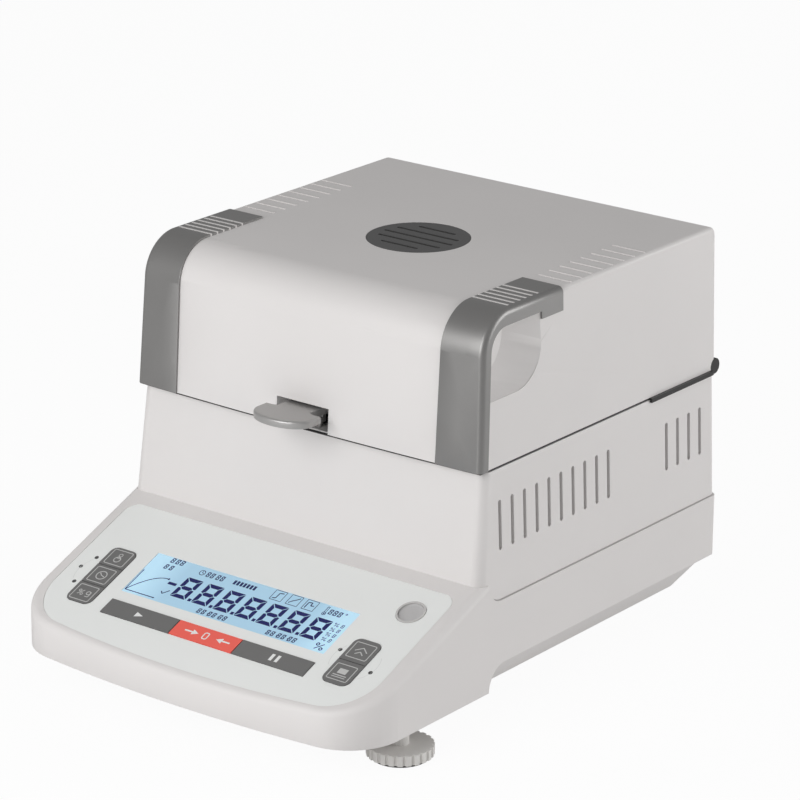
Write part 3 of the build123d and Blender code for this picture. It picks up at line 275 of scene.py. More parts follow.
def silvered(name, colour):
    """Plastic painted with a fine metallic lacquer."""
    made = moulded(name, colour, 0.4, 2400.0, 0.08, 0.06, 0.5)
    made.node_tree.nodes["Principled BSDF"].inputs["Metallic"].default_value = 0.6
    return made


def rubbery(name, colour):
    """Matt rubber with a dusty grain."""
    return moulded(name, colour, 0.78, 1400.0, 0.3, 0.12, 0.25)


def lit_screen(name, colour):
    """A lit display face: brighter where the light enters at its ends."""
    made, tree, shader, place = blank_material(name)
    parts = tree.nodes.new("ShaderNodeSeparateXYZ")
    tree.links.new(place, parts.inputs["Vector"])
    ends = tree.nodes.new("ShaderNodeMath")
    ends.operation = "ABSOLUTE"
    tree.links.new(parts.outputs["X"], ends.inputs[0])
    glow = tree.nodes.new("ShaderNodeMapRange")
    glow.inputs["From Min"].default_value = 0.03
    glow.inputs["From Max"].default_value = 0.064
    tree.links.new(ends.outputs["Value"], glow.inputs["Value"])
    middle = tuple(c * 0.93 for c in colour)
    edge = tuple(min(1.0, c * 1.14 + 0.04) for c in colour)
    ramp = blend_colours(tree, glow.outputs["Result"], middle, edge)
    tree.links.new(ramp, shader.inputs["Base Color"])
    tree.links.new(ramp, shader.inputs["Emission Color"])
    shader.inputs["Emission Strength"].default_value = 0.18
    haze = grain(tree, place, 300.0)
    tree.links.new(remap(tree, haze, 0.32, 0.42), shader.inputs["Roughness"])
    return made


def circuit(name):
    """Green board with a faint pattern of tracks."""
    made, tree, shader, place = blank_material(name)
    tracks = tree.nodes.new("ShaderNodeTexBrick")
    tracks.inputs["Scale"].default_value = 160.0
    tracks.inputs["Color1"].default_value = (0.012, 0.12, 0.045, 1.0)
    tracks.inputs["Color2"].default_value = (0.016, 0.15, 0.055, 1.0)
    tracks.inputs["Mortar"].default_value = (0.05, 0.25, 0.09, 1.0)
    tracks.inputs["Mortar Size"].default_value = 0.03
    tree.links.new(place, tracks.inputs["Vector"])
    tree.links.new(tracks.outputs["Color"], shader.inputs["Base Color"])
    shader.inputs["Roughness"].default_value = 0.35
    return made


MATERIALS = {}


def finish_of(name):
    """The material of that name, made once."""
    if name not in MATERIALS:
        housing = bpy.context.scene.analyzer_housing
        panel = bpy.context.scene.analyzer_panel
        makers = {
            "housing_white": lambda: moulded("housing_white", tuple(housing.white), 0.46),
            "guard_grey": lambda: silvered("guard_grey", tuple(housing.guard)),
            # The latch tab and catch take the guard grey lightened 1.6 times: painted light for the light their
            # sloping faces catch
            "tab_grey": lambda: silvered("tab_grey", tuple(min(1.0, c * 1.6) for c in housing.guard)),
            "grille_grey": lambda: moulded("grille_grey", (0.085, 0.084, 0.084), 0.45, 1800.0, 0.12),
            "trim_black": lambda: moulded("trim_black", tuple(housing.trim), 0.4),
            "panel_film": lambda: moulded("panel_film", tuple(panel.film), 0.42, 3200.0, 0.05, 0.01, 0.35),
            "key_grey": lambda: moulded("key_grey", tuple(panel.key), 0.42, 2600.0, 0.06, 0.03),
            "tare_red": lambda: moulded("tare_red", tuple(panel.tare), 0.42, 2600.0, 0.06, 0.02),
            "print_white": lambda: moulded("print_white", (0.90, 0.90, 0.89), 0.5, 3000.0, 0.03, 0.01),
            "print_pale": lambda: moulded("print_pale", (0.79, 0.80, 0.79), 0.5, 3000.0, 0.03, 0.01),
            "print_light": lambda: moulded("print_light", (0.60, 0.60, 0.59), 0.5, 3000.0, 0.03, 0.01),
            "print_grey": lambda: moulded("print_grey", (0.075, 0.075, 0.075), 0.5, 3000.0, 0.03, 0.01),
            "figure_navy": lambda: moulded("figure_navy", tuple(panel.figures), 0.45, 3000.0, 0.02, 0.02),
            "figure_faint": lambda: moulded("figure_faint", (0.012, 0.02, 0.13), 0.45, 3000.0, 0.02, 0.02),
            "lit_screen": lambda: lit_screen("lit_screen", tuple(panel.screen)),
            "lamp_glass": lambda: clear("lamp_glass", (0.9, 0.93, 0.92), 0.28),
            "vial": lambda: clear("vial", (0.72, 0.71, 0.69), 0.7),
            "frosted": lambda: clear("frosted", (0.66, 0.65, 0.65), 0.82, 0.4),
            "cup_grey": lambda: moulded("cup_grey", (0.62, 0.61, 0.60), 0.4),
            # Black finish of the foot pads and the chamber seal, also used for the painted shadow strip under
            # the lid's edge
            "rubber": lambda: rubbery("rubber", (0.035, 0.034, 0.034)),
            "black_plastic": lambda: moulded("black_plastic", (0.022, 0.022, 0.023), 0.42),
            "stainless": lambda: metal("stainless", (0.56, 0.56, 0.55), 0.32),
            "bright_sheet": lambda: metal("bright_sheet", (0.82, 0.82, 0.81), 0.16, (1.0, 30.0, 1.0), 0.05),
            "pan_sheet": lambda: metal("pan_sheet", (0.80, 0.80, 0.80), 0.26, (8.0, 8.0, 1.0), 0.08),
            "machined": lambda: metal("machined", (0.68, 0.68, 0.70), 0.34, (30.0, 1.0, 1.0)),
            "steel": lambda: metal("steel", (0.52, 0.52, 0.52), 0.3, (1.0, 24.0, 24.0)),
            "circuit": lambda: circuit("circuit"),
            "filament": lambda: metal("filament", (0.35, 0.33, 0.31), 0.4, (1.0, 1.0, 1.0)),
            "foot_white": lambda: moulded("foot_white", (0.78, 0.765, 0.74), 0.42),
        }
        MATERIALS[name] = makers[name]()
    return MATERIALS[name]


def dress(finish, *nodes):
    """Gives carried-over nodes a finish."""
    for node in nodes:
        slots = NODES[node].data.materials
        slots.clear()
        slots.append(finish_of(finish))


# Geometry


def deck_point(x, s, h):
    """A point given across the deck, down its slope and out of it, in millimetres."""
    return DECK_START + DECK_ACROSS * (x * MM) - DECK_UP * (s * MM) + DECK_OUT * (h * MM)


def new_piece(name, mesh_maker, body, finish):
    """A mesh piece that rides on a body."""
    mesh = bpy.data.meshes.new(name)
    made = bpy.data.objects.new(name, mesh)
    bpy.context.scene.collection.objects.link(made)
    shape = bmesh.new()
    mesh_maker(shape)
    bmesh.ops.recalc_face_normals(shape, faces=shape.faces)
    shape.to_mesh(mesh)
    shape.free()
    mesh.materials.append(finish_of(finish))
    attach(made, body)
    return made


def inlay(shape, outline, low, high):
    """A thin plate on the deck with an outline of (x, s) points, between two heights."""
    under = [shape.verts.new(deck_point(x, s, low)) for x, s in outline]
    over = [shape.verts.new(deck_point(x, s, high)) for x, s in outline]
    shape.faces.new(over)
    shape.faces.new(under[::-1])
    count = len(outline)
    for i in range(count):
        j = (i + 1) % count
        shape.faces.new((under[i], under[j], over[j], over[i]))


def stroke(points, width):
    """Quads that follow a line of (x, s) points with a given width."""
    quads = []
    for (ax, ay), (bx, by) in zip(points, points[1:]):
        length = max(sqrt((bx - ax) ** 2 + (by - ay) ** 2), 1e-6)
        nx, ny = -(by - ay) / length * width / 2, (bx - ax) / length * width / 2
        quads.append([(ax + nx, ay + ny), (bx + nx, by + ny), (bx - nx, by - ny), (ax - nx, ay - ny)])
    return quads


def ring_band(x, s, outer, inner, steps=28, start=0.0, turn=2 * pi):
    """Quads round a ring or an arc of it."""
    quads = []
    for i in range(steps):
        a = start + turn * i / steps
        b = start + turn * (i + 1) / steps
        quads.append([(x + cos(a) * outer, s + sin(a) * outer), (x + cos(b) * outer, s + sin(b) * outer),
                      (x + cos(b) * inner, s + sin(b) * inner), (x + cos(a) * inner, s + sin(a) * inner)])
    return quads


def disc(x, s, radius, steps=20):
    """Outline of a disc."""
    return [(x + cos(2 * pi * i / steps) * radius, s + sin(2 * pi * i / steps) * radius) for i in range(steps)]


def round_rect(x0, s0, x1, s1, radius, steps=5):
    """Outline of a rectangle with round corners."""
    points = []
    for cx, cy, start in ((x1 - radius, s1 - radius, 0.0), (x0 + radius, s1 - radius, pi / 2),
                          (x0 + radius, s0 + radius, pi), (x1 - radius, s0 + radius, 3 * pi / 2)):
        for i in range(steps + 1):
            a = start + pi / 2 * i / steps
            points.append((cx + cos(a) * radius, cy + sin(a) * radius))
    return points


def frame_band(x0, s0, x1, s1, radius, width):
    """Quads of a rounded frame line."""
    outer = round_rect(x0, s0, x1, s1, radius)
    inner = round_rect(x0 + width, s0 + width, x1 - width, s1 - width, max(radius - width, 0.05))
    count = len(outer)
    return [[outer[i], outer[(i + 1) % count], inner[(i + 1) % count], inner[i]] for i in range(count)]


def seven_segment(x, s, height, width, thick, lean, bars="abcdefg"):
    """Outlines of the bars of one figure, its middle at (x, s)."""
    h, w, t, gap = height / 2, width / 2, thick / 2, thick * 0.12
    shapes = {
        "a": [(-w + gap, -h), (w - gap, -h), (w - 2 * t - gap, -h + 2 * t), (-w + 2 * t + gap, -h + 2 * t)],
        "d": [(-w + gap, h), (-w + 2 * t + gap, h - 2 * t), (w - 2 * t - gap, h - 2 * t), (w - gap, h)],
        "g": [(-w + t + gap, 0.0), (-w + 2 * t + gap, -t), (w - 2 * t - gap, -t),
              (w - t - gap, 0.0), (w - 2 * t - gap, t), (-w + 2 * t + gap, t)],
        "f": [(-w, -h + gap), (-w + 2 * t, -h + 2 * t + gap), (-w + 2 * t, -t - gap), (-w + t, -gap),
              (-w, -gap * 2)],
        "e": [(-w, h - gap), (-w, gap * 2), (-w + t, gap), (-w + 2 * t, t + gap),
              (-w + 2 * t, h - 2 * t - gap)],
        "b": [(w, -h + gap), (w, -gap * 2), (w - t, -gap), (w - 2 * t, -t - gap),
              (w - 2 * t, -h + 2 * t + gap)],
        "c": [(w, h - gap), (w - 2 * t, h - 2 * t - gap), (w - 2 * t, t + gap), (w - t, gap), (w, gap * 2)],
    }
    return [[(x + px - py * lean, s + py) for px, py in shapes[bar]] for bar in bars]


def plates(outlines, low, high):
    """A maker that lays plates for a list of outlines."""
    def make(shape):
        for outline in outlines:
            inlay(shape, outline, low, high)
    return make


def screw_heads(places, radius=2.6, height=1.2):
    """A maker for cross-recessed screw heads at (point, direction) places, sizes in millimetres."""
    def make(shape):
        for point, out in places:
            out = Vector(out).normalized()
            side = out.orthogonal().normalized()
            other = out.cross(side)
            rings = []
            for r, h in ((radius, -0.3), (radius, height * 0.45), (radius * 0.86, height * 0.85),
                         (radius * 0.55, height)):
                rings.append([shape.verts.new(Vector(point) + (side * cos(2 * pi * i / 24) * r
                              + other * sin(2 * pi * i / 24) * r + out * h) * MM) for i in range(24)])
            for low, high in zip(rings, rings[1:]):
                for i in range(24):
                    j = (i + 1) % 24
                    shape.faces.new((low[i], low[j], high[j], high[i]))
            shape.faces.new(rings[0][::-1])
            slot = []
            for i in range(24):
                near = radius * (0.5 if i % 6 in (0, 1, 5) else 0.2)
                slot.append(shape.verts.new(Vector(point) + (side * cos(2 * pi * i / 24) * near
                            + other * sin(2 * pi * i / 24) * near + out * height * 0.45) * MM))
            for i in range(24):
                j = (i + 1) % 24
                shape.faces.new((rings[-1][i], rings[-1][j], slot[j], slot[i]))
            shape.faces.new(slot)
    return make


def soften(node, width, angle=40.0):
    """Breaks the sharp edges of a carried-over node and smooths its curved faces."""
    part = NODES[node]
    weld = part.modifiers.new("weld", "WELD")
    weld.merge_threshold = 0.00001
    round_edges = part.modifiers.new("edges", "BEVEL")
    round_edges.width = width
    round_edges.segments = 2
    round_edges.limit_method = "ANGLE"
    round_edges.angle_limit = radians(angle)
    round_edges.use_clamp_overlap = True
    round_edges.harden_normals = True


# Operators


class ANALYZER_OT_mouldings(bpy.types.Operator):
    """Finish the housings, the lid, its guards, the rail and the grille"""

    bl_idname = "analyzer.mouldings"
    bl_label = "Mouldings"

    def execute(self, context):
        dress("housing_white", "base_housing", "base_tray", "chamber_housing", "lid_shell")
        dress("guard_grey", "lid_guard_left", "lid_guard_right")
        # The tab and catch get the lightened guard grey: painted light
        dress("tab_grey", "latch_tab", "latch_catch")
        dress("grille_grey", "top_grille")
        dress("trim_black", "hinge_trim", "hinge_leaf_left", "hinge_leaf_right")
        for node in ("base_housing", "chamber_housing", "lid_shell",
                     "lid_guard_left", "lid_guard_right", "latch_tab"):
            soften(node, context.scene.analyzer_housing.edge_round)
        return {"FINISHED"}


class ANALYZER_OT_seam(bpy.types.Operator):
    """Lay a dark strip under the edge of the lid, as far back as the rail: painted shadow below the lid's edge
    """

    bl_idname = "analyzer.seam"
    bl_label = "Seam"

    def execute(self, context):
        lid_low, lid_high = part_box("lid_shell")
        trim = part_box("hinge_trim")[0]
        # Sizes of a thin dark strip hung under the lid's edge: a painted shadow where the lid meets the housing
        crown, drop, deep, inset = 2.2 * MM, 0.65 * MM, 1.4 * MM, 0.05 * MM
        half = lid_high.x - inset
        front = lid_low.y + inset
        steps = 24

        def shadow_strip(shape):
            rails = []
            for grow in (0.0, deep):
                path = [(-half + grow, trim.y)]
                for i in range(steps + 1):
                    x = (half - grow) * (2 * i / steps - 1)
                    path.append((x, front + grow + crown * (x / half) ** 2))
                path.append((half - grow, trim.y))
                heights = (lid_low.z, lid_low.z - drop)
                rails.append([[shape.verts.new((x, y, z)) for x, y in path] for z in heights])
            (outer_top, outer_low), (inner_top, inner_low) = rails
            loop = (outer_top, outer_low, inner_low, inner_top, outer_top)
            for a, b in zip(loop, loop[1:]):
                for i in range(len(a) - 1):
                    shape.faces.new((a[i], a[i + 1], b[i + 1], b[i]))
            for end in (0, -1):
                shape.faces.new((outer_top[end], outer_low[end], inner_low[end], inner_top[end]))

        # The strip is painted shadow and takes the same black finish as the foot pads and the chamber seal
        new_piece("lid_lip", shadow_strip, "lid", "rubber")
        return {"FINISHED"}


class ANALYZER_OT_panel(bpy.types.Operator):
    """Finish the panel film and lay its printed dots and arcs"""

    bl_idname = "analyzer.panel"
    bl_label = "Panel"

    def execute(self, context):
        dress("panel_film", "panel_overlay")
        places = ((-89.0, 49.0), (-92.5, 57.0), (-88.5, 67.0), (67.0, 58.4), (90.0, 66.0))
        marks = [disc(x, s, 1.1) for x, s in places]
        low, high = PANEL_FACE - INK, PANEL_FACE + INK
        new_piece("panel_dots", plates(marks, low, high), "base", "print_grey")
        arcs = ring_band(-79.0, 58.6, 13.5, 13.2, 30, radians(150.0), radians(66.0))
        arcs += ring_band(78.5, 62.4, 12.6, 12.3, 20, radians(-30.0), radians(80.0))
        arcs += ring_band(78.5, 62.4, 12.6, 12.3, 20, radians(150.0), radians(66.0))
        new_piece("panel_arcs", plates(arcs, low, high), "base", "print_pale")
        return {"FINISHED"}


class ANALYZER_OT_display(bpy.types.Operator):
    """Finish the display and lay its figures"""

    bl_idname = "analyzer.display"
    bl_label = "Display"

    def execute(self, context):
        panel = context.scene.analyzer_panel
        dress("black_plastic", "display_module")
        dress("lit_screen", "display_window")
        height = panel.digit_height / MM
        figures = []
        for i in range(panel.digit_count):
            x = FIRST_FIGURE + FIGURE_PITCH * i
            figures += seven_segment(x, FIGURE_ROW, height, FIGURE_WIDTH, FIGURE_BAR, FIGURE_LEAN)
            if i < panel.digit_count - 1:
                figures.append([(x + 5.6, 55.9), (x + 7.4, 55.9), (x + 7.4, 57.7), (x + 5.6, 57.7)])
        figures.append([(-42.5, 49.7), (-37.6, 49.7), (-37.6, 51.4), (-42.5, 51.4)])
        new_piece("display_figures", plates(figures, SCREEN_FACE - INK, SCREEN_FACE + INK), "base",
                  "figure_navy")
        small = small_figures() + clock_sign(-30.8, 38.6) + thermometer_sign(44.0, 40.6) + unit_signs()
        small += drying_curve() + stroke([(-41.9, 56.6), (-40.6, 58.0), (-38.0, 54.9)], 0.55)
        for i in range(7):
            x = -11.6 + 2.0 * i
            small.append([(x, 39.8), (x + 1.4, 39.8), (x + 1.4, 37.0), (x, 37.0)])
        small += profile_frames()
        new_piece("display_small_figures", plates(small, SCREEN_FACE - INK, SCREEN_FACE + INK), "base",
                  "figure_faint")
        return {"FINISHED"}


def small_figures():
    """The rows of small figures, and the colons between the pairs of the lower row."""
    outlines = []
    for row, tall, wide, places in SMALL_ROWS:
        for x in places:
            outlines += seven_segment(x, row, tall, wide, SMALL_BAR, SMALL_LEAN)
    for start in (-15.0, 26.6):
        for pair in range(3):
            for step in range(2):
                x = start + pair * PAIR_PITCH + step * PAIR_STEP
                outlines += seven_segment(x, TIME_ROW, 3.1, 1.9, SMALL_BAR, SMALL_LEAN)
    for x in (-9.6, -3.2, 32.0, 38.4):
        outlines.append([(x - 0.35, 61.1), (x + 0.35, 61.1), (x + 0.35, 61.7), (x - 0.35, 61.7)])
    return outlines


def clock_sign(x, s):
    """A clock face with two hands."""
    return ring_band(x, s, 1.75, 1.35) + stroke([(x, s + 0.1), (x, s - 1.1)], 0.35) \
        + stroke([(x, s), (x + 0.9, s + 0.3)], 0.35)


def thermometer_sign(x, s):
    """A thermometer with its bulb at (x, s)."""
    tube = [(x - 0.5, s - 1.0), (x - 0.5, s - 4.6), (x + 0.5, s - 4.6), (x + 0.5, s - 1.0)]
    return ring_band(x, s, 1.15, 0.8) + stroke(tube, 0.3) + [disc(x, s, 0.5, 10)]


def unit_signs():
    """The degree ring, the stack of small percent signs with their figures, and the large percent sign."""
    outlines = ring_band(55.2, 37.4, 0.6, 0.32, 14)
    for s in (45.0, 48.4, 51.8, 55.2):
        outlines += stroke([(54.0, s + 1.1), (55.9, s - 1.1)], 0.35)
        outlines += ring_band(54.1, s - 0.7, 0.55, 0.25, 10) + ring_band(55.8, s + 0.7, 0.55, 0.25, 10)
        outlines += seven_segment(58.4, s, 2.2, 1.5, 0.34, SMALL_LEAN)
    outlines += stroke([(54.2, 62.2), (57.8, 58.2)], 0.55)
    return outlines + ring_band(54.5, 59.0, 1.05, 0.5, 14) + ring_band(57.6, 61.4, 1.05, 0.5, 14)


def drying_curve():
    """Two axes with arrow heads, and the curve of a drying run between them."""
    axes = stroke([(-60.4, 47.4), (-60.4, 62.0), (-42.8, 62.0)], 0.5)
    heads = [[(-60.9, 48.0), (-60.4, 46.8), (-59.9, 48.0)], [(-43.2, 61.5), (-42.0, 62.0), (-43.2, 62.5)]]
    bend = [(-60.2 + 16.4 * (i / 14), 61.6 - 13.2 * (1 - (1 - i / 14) ** 2.1)) for i in range(15)]
    return axes + heads + stroke(bend, 0.5) + [disc(-43.8, 48.4, 0.6, 12)]


def profile_frames():
    """Three frames, each round one heating profile."""
    outlines = []
    for x, profile in zip((12.0, 21.6, 31.0), PROFILES):
        outlines += frame_band(x, 35.0, x + 6.9, 41.8, 0.4, 0.32)
        outlines += stroke([(x + px, 35.2 + py) for px, py in profile], 0.55)
    return outlines


class ANALYZER_OT_keys(bpy.types.Operator):
    """Finish the keys and lay their signs"""

    bl_idname = "analyzer.keys"
    bl_label = "Keys"

    def execute(self, context):
        low, high = KEY_FACE - INK, KEY_FACE + SIGN_PROUD
        strip = ("left_key_upper", "left_key_middle", "left_key_lower", "right_key_upper", "right_key_lower")
        dress("key_grey", "start_key", "stop_key", *strip)
        dress("tare_red", "tare_key")
        signs = {"start_key": [[(-42.8, 73.6), (-38.4, 75.2), (-42.8, 76.8)]],
                 "stop_key": [[(x, 72.9), (x + 1.7, 72.9), (x + 1.7, 77.2), (x, 77.2)] for x in (38.8, 42.2)],
                 "tare_key": stroke([(-12.4, KEY_ROW), (-7.6, KEY_ROW)], 0.9)
                 + stroke([(9.6, KEY_ROW), (14.4, KEY_ROW)], 0.9)
                 + [[(-7.9, 73.3), (-4.4, KEY_ROW), (-7.9, 76.7)], [(9.9, 73.3), (9.9, 76.7), (6.4, KEY_ROW)]]
                 + frame_band(-1.6, 72.7, 1.6, 77.3, 1.2, 0.62)}
        for key, outlines in signs.items():
            new_piece(key + "_sign", plates(outlines, low, high), key + "_body", "print_white")
        for key in strip:
            lowest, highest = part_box(key)
            x = (lowest.x + highest.x) / 2 / MM
            middle_y = (lowest.y + highest.y) / 2
            s = (DECK_START.y - middle_y) / cos(DECK_TILT) / MM + KEY_SHIFT
            wide, tall = KEY_FRAME
            outlines = frame_band(x - wide, s - tall, x + wide, s + tall, 1.0, 0.42)
            outlines += key_sign(key, x, s)
            new_piece(key + "_sign", plates(outlines, low, high), key + "_body", "print_light")
        return {"FINISHED"}


def key_sign(key, x, s):
    """Outlines of the sign on one small key."""
    if key == "left_key_upper":
        return ring_band(x, s + 1.2, 2.0, 1.5, 20) + ring_band(x, s - 1.9, 1.2, 0.8, 16) \
            + stroke([(x - 1.4, s + 0.2), (x + 1.4, s + 0.2)], 0.4)
    if key == "left_key_middle":
        return ring_band(x, s, 3.0, 2.5, 24) + stroke([(x, s + 0.1), (x - 1.6, s - 1.4)], 0.45) \
            + stroke([(x, s), (x + 2.0, s + 0.6)], 0.45)
    if key == "left_key_lower":
        return stroke([(x - 3.4, s + 1.6), (x - 0.6, s - 1.6)], 0.45) \
            + ring_band(x - 3.0, s - 0.9, 0.85, 0.45, 12) \
            + ring_band(x - 1.0, s + 1.1, 0.85, 0.45, 12) + ring_band(x + 2.4, s - 0.4, 1.3, 0.85, 16) \
            + stroke([(x + 3.6, s - 1.4), (x + 3.6, s + 2.0), (x + 1.6, s + 2.0)], 0.45)
    if key == "right_key_upper":
        return stroke([(x - 3.4, s + 0.4), (x, s - 2.2), (x + 3.4, s + 0.4)], 0.5) \
            + stroke([(x - 2.2, s + 2.4), (x, s + 0.6), (x + 2.2, s + 2.4)], 0.5)
    return [[(x - 2.4, s - 2.4), (x + 2.4, s - 2.4), (x + 2.4, s + 0.8), (x - 2.4, s + 0.8)]] \
        + stroke([(x - 3.8, s + 2.0), (x + 3.8, s + 2.0)], 0.5) \
        + stroke([(x - 3.8, s + 3.2), (x + 3.8, s + 3.2)], 0.4)


class ANALYZER_OT_level(bpy.types.Operator):
    """Finish the level and set its frosted lens in the cup"""

    bl_idname = "analyzer.level"
    bl_label = "Level"

    def execute(self, context):
        dress("cup_grey", "level_cup")
        dress("vial", "level_vial")
        low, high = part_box("level_cup")
        x = (low.x + high.x) / 2 / MM
        radius, sides = 6.1, 40
        section = ((radius, -1.4), (radius, -0.5), (radius * 0.9, -0.9), (radius * 0.6, -1.15),
                   (radius * 0.25, -1.25))

        def dish(shape):
            rings = []
            for around, height in section:
                circle = disc(x, LEVEL_ROW, around, sides)
                rings.append([shape.verts.new(deck_point(*point, height)) for point in circle])
            for near, far in zip(rings, rings[1:]):
                for i in range(sides):
                    j = (i + 1) % sides
                    shape.faces.new((near[i], near[j], far[j], far[i]))
            shape.faces.new(rings[0][::-1])
            shape.faces.new(rings[-1])

        new_piece("level_lens", dish, "base", "frosted")
        return {"FINISHED"}


class ANALYZER_OT_feet(bpy.types.Operator):
    """Finish the feet"""

    bl_idname = "analyzer.feet"
    bl_label = "Feet"

    def execute(self, context):
        dress("foot_white", "foot_wheel_left", "foot_wheel_right")
        dress("rubber", "foot_pad_left", "foot_pad_right", "rear_foot_left", "rear_foot_right")
        return {"FINISHED"}


class ANALYZER_OT_chamber(bpy.types.Operator):
    """Finish the drying chamber, the pan, the lamp unit and the load cell"""

    bl_idname = "analyzer.chamber"
    bl_label = "Chamber"

    def execute(self, context):
        dress("stainless", "drying_chamber", "wind_ring", "lid_liner", "glass_ring")
        dress("bright_sheet", "reflector", "vent_duct")
        dress("pan_sheet", "sample_pan")
        dress("machined", "load_cell", "load_cell_bracket")
        dress("steel", "pan_support", "temperature_probe", "hinge_pin_left", "hinge_pin_right", "latch_pin")
        dress("lamp_glass", "lamp_glass", "halogen_lamp")
        dress("rubber", "chamber_seal")
        dress("black_plastic", "lamp_sockets")
        return {"FINISHED"}


class ANALYZER_OT_filament(bpy.types.Operator):
    """Wind the filament inside the ring of the lamp"""

    bl_idname = "analyzer.filament"
    bl_label = "Filament"

    def execute(self, context):
        low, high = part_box("halogen_lamp")
        middle = (low + high) / 2
        tube = (high.z - low.z) / 2
        ring = (high.x - low.x) / 2 - tube
        coil, wire, turns, steps, sides = tube * 0.4, 0.0003, 64, 10, 4

        def wind(shape):
            rings = []
            for i in range(turns * steps):
                around, wound = 2 * pi * i / (turns * steps), 2 * pi * i / steps
                out = Vector((cos(around), sin(around), 0.0))
                spoke = out * cos(wound) + Vector((0.0, 0.0, 1.0)) * sin(wound)
                along = Vector((-sin(around), cos(around), 0.0))
                centre = middle + out * ring + spoke * coil
                angles = [2 * pi * k / sides for k in range(sides)]
                ways = [spoke * cos(angle) + along * sin(angle) for angle in angles]
                rings.append([shape.verts.new(centre + way * wire) for way in ways])
            for i, near in enumerate(rings):
                far = rings[(i + 1) % len(rings)]
                for k in range(sides):
                    m = (k + 1) % sides
                    shape.faces.new((near[k], near[m], far[m], far[k]))

        new_piece("lamp_filament", wind, "lid", "filament")
        return {"FINISHED"}


class ANALYZER_OT_fasteners(bpy.types.Operator):
    """Set the screws of the tray, the housing, the liner and the serial port"""

    bl_idname = "analyzer.fasteners"
    bl_label = "Fasteners"

    def execute(self, context):
        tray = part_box("base_tray")[0].z
        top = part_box("chamber_housing")[1].z
        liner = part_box("lid_liner")[0].z
        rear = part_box("base_housing")[1].y
        port_low, port_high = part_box("serial_port")
        port_z = (port_low.z + port_high.z) / 2
        below = [((x * MM, y * MM, tray), (0, 0, -1)) for x in (-80.0, 80.0) for y in (-120.0, -20.0, 108.0)]
        above = [((x * MM, y * MM, top), (0, 0, 1)) for x in (-89.0, 89.0) for y in (-30.0, 122.0)]
        under = [((x * MM, y * MM, liner), (0, 0, -1)) for x in (-88.0, 88.0) for y in (-24.0, 122.0)]
        post_x = (port_low.x + 3.0 * MM, port_high.x - 3.0 * MM)
        posts = [((x, rear + 0.5 * MM, port_z), (0, 1, 0)) for x in post_x]
        new_piece("tray_screws", screw_heads(below, 3.0, 0.8), "base", "steel")
        new_piece("housing_screws", screw_heads(above, 2.6, 0.7), "base", "steel")
        new_piece("liner_screws", screw_heads(under, 2.6, 0.7), "lid", "steel")
        new_piece("port_screws", screw_heads(posts, 2.2, 2.5), "base", "steel")
        return {"FINISHED"}


class ANALYZER_OT_electrics(bpy.types.Operator):
    """Finish the boards, the rear sockets and the switch"""

    bl_idname = "analyzer.electrics"
    bl_label = "Electrics"

    def execute(self, context):
        dress("circuit", "display_board", "main_board", "power_board")
        dress("black_plastic", "power_inlet", "switch_frame", "switch_rocker")
        dress("steel", "serial_port")
        return {"FINISHED"}


class ANALYZER_OT_studio(bpy.types.Operator):
    """Set up the floor, the lamps and the camera"""

    bl_idname = "analyzer.studio"
    bl_label = "Studio"

    def execute(self, context):
        setup = context.scene.analyzer_studio
        mesh = bpy.data.meshes.new("floor")
        floor = bpy.data.objects.new("floor", mesh)
        context.scene.collection.objects.link(floor)
        shape = bmesh.new()
        bmesh.ops.create_grid(shape, x_segments=4, y_segments=4, size=FLOOR_HALF)
        shape.to_mesh(mesh)
        shape.free()
        mesh.materials.append(floor_material())

        world = context.scene.world or bpy.data.worlds.new("studio")
        context.scene.world = world
        world.use_nodes = True
        tree = world.node_tree
        tree.nodes.clear()
        out = tree.nodes.new("ShaderNodeOutputWorld")
        even = tree.nodes.new("ShaderNodeBackground")
        even.inputs["Color"].default_value = (1.0, 1.0, 1.0, 1.0)
        even.inputs["Strength"].default_value = setup.sky
        white = tree.nodes.new("ShaderNodeBackground")
        white.inputs["Color"].default_value = (1.0, 1.0, 1.0, 1.0)
        mix = tree.nodes.new("ShaderNodeMixShader")
        path = tree.nodes.new("ShaderNodeLightPath")
        tree.links.new(path.outputs["Is Camera Ray"], mix.inputs["Fac"])
        tree.links.new(even.outputs["Background"], mix.inputs[1])
        tree.links.new(white.outputs["Background"], mix.inputs[2])
        tree.links.new(mix.outputs["Shader"], out.inputs["Surface"])

        for name, power, place, size in LAMPS:
            lamp = bpy.data.lights.new(name, "AREA")
            lamp.energy = getattr(setup, power)
            lamp.shape = "DISK"
            lamp.size = size
            holder = bpy.data.objects.new(name, lamp)
            holder.location = place
            holder.rotation_euler = (LAMP_AIM - place).to_track_quat("-Z", "Y").to_euler()
            context.scene.collection.objects.link(holder)

        level = Vector((cos(CAMERA_AZIMUTH), sin(CAMERA_AZIMUTH), 0.0))
        flat = cos(CAMERA_ELEVATION)
        back = Vector((sin(CAMERA_AZIMUTH) * flat, -cos(CAMERA_AZIMUTH) * flat, sin(CAMERA_ELEVATION)))
        upright = back.cross(level)
        right = level * cos(CAMERA_ROLL) + upright * sin(CAMERA_ROLL)
        up = upright * cos(CAMERA_ROLL) - level * sin(CAMERA_ROLL)
        camera = bpy.data.cameras.new("camera")
        camera.lens = setup.lens
        camera.sensor_width = 36.0
        camera.clip_start = 0.05
        holder = bpy.data.objects.new("camera", camera)
        holder.matrix_world = Matrix((
            (right.x, up.x, back.x, CAMERA_PLACE.x), (right.y, up.y, back.y, CAMERA_PLACE.y),
            (right.z, up.z, back.z, CAMERA_PLACE.z), (0.0, 0.0, 0.0, 1.0)))
        context.scene.collection.objects.link(holder)
        context.scene.camera = holder
        context.scene.view_settings.view_transform = "Standard"
        return {"FINISHED"}


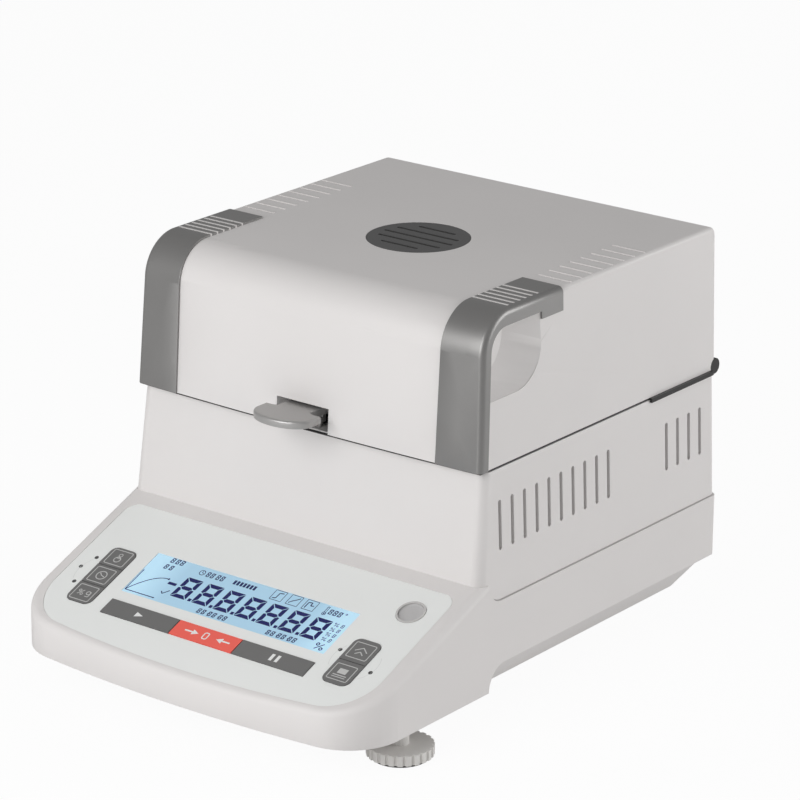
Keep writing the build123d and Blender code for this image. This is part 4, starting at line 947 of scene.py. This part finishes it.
def floor_material():
    """Pale floor that shows as nearly white to the camera and keeps the shadow."""
    made, tree, shader, place = blank_material("floor_white")
    cloud = grain(tree, place, 3.0)
    pale = blend_colours(tree, cloud, (0.90, 0.90, 0.90), (0.93, 0.93, 0.93))
    tree.links.new(pale, shader.inputs["Base Color"])
    shader.inputs["Roughness"].default_value = 0.9
    white = tree.nodes.new("ShaderNodeEmission")
    share = tree.nodes.new("ShaderNodeMath")
    share.operation = "MULTIPLY"
    share.inputs[1].default_value = FLOOR_WHITE
    path = tree.nodes.new("ShaderNodeLightPath")
    mix = tree.nodes.new("ShaderNodeMixShader")
    tree.links.new(path.outputs["Is Camera Ray"], share.inputs[0])
    tree.links.new(share.outputs["Value"], mix.inputs["Fac"])
    tree.links.new(shader.outputs["BSDF"], mix.inputs[1])
    tree.links.new(white.outputs["Emission"], mix.inputs[2])
    tree.links.new(mix.outputs["Shader"], tree.nodes["Material Output"].inputs["Surface"])
    return made


class ANALYZER_PT_panel(bpy.types.Panel):
    """Lists the settings and the steps"""

    bl_label = "Moisture analyzer"
    bl_idname = "ANALYZER_PT_panel"
    bl_space_type = "VIEW_3D"
    bl_region_type = "UI"
    bl_category = "Analyzer"

    def draw(self, context):
        for group in ("analyzer_housing", "analyzer_panel", "analyzer_studio"):
            settings = getattr(context.scene, group)
            box = self.layout.box()
            for name in settings.__annotations__:
                box.prop(settings, name)
        for step in STEPS:
            self.layout.operator(step.bl_idname)


STEPS = (
    ANALYZER_OT_mouldings,
    ANALYZER_OT_seam,
    ANALYZER_OT_panel,
    ANALYZER_OT_display,
    ANALYZER_OT_keys,
    ANALYZER_OT_level,
    ANALYZER_OT_feet,
    ANALYZER_OT_chamber,
    ANALYZER_OT_filament,
    ANALYZER_OT_fasteners,
    ANALYZER_OT_electrics,
    ANALYZER_OT_studio,
)
GROUPS = (
    ("analyzer_housing", HousingFinish),
    ("analyzer_panel", PanelFinish),
    ("analyzer_studio", StudioSetup),
)


def register():
    """Registers the settings, the steps and the panel."""
    for name, group in GROUPS:
        bpy.utils.register_class(group)
        setattr(bpy.types.Scene, name, PointerProperty(type=group))
    for step in STEPS:
        bpy.utils.register_class(step)
    bpy.utils.register_class(ANALYZER_PT_panel)


def unregister():
    """Takes them out again."""
    bpy.utils.unregister_class(ANALYZER_PT_panel)
    for step in reversed(STEPS):
        bpy.utils.unregister_class(step)
    for name, group in reversed(GROUPS):
        delattr(bpy.types.Scene, name)
        bpy.utils.unregister_class(group)


def main():
    """Dresses the analyzer."""
    register()
    bpy.ops.analyzer.mouldings()
    bpy.ops.analyzer.seam()
    bpy.ops.analyzer.panel()
    bpy.ops.analyzer.display()
    bpy.ops.analyzer.keys()
    bpy.ops.analyzer.level()
    bpy.ops.analyzer.feet()
    bpy.ops.analyzer.chamber()
    bpy.ops.analyzer.filament()
    bpy.ops.analyzer.fasteners()
    bpy.ops.analyzer.electrics()
    bpy.ops.analyzer.studio()
    bpy.context.view_layer.update()


if __name__ == "__main__":
    main()
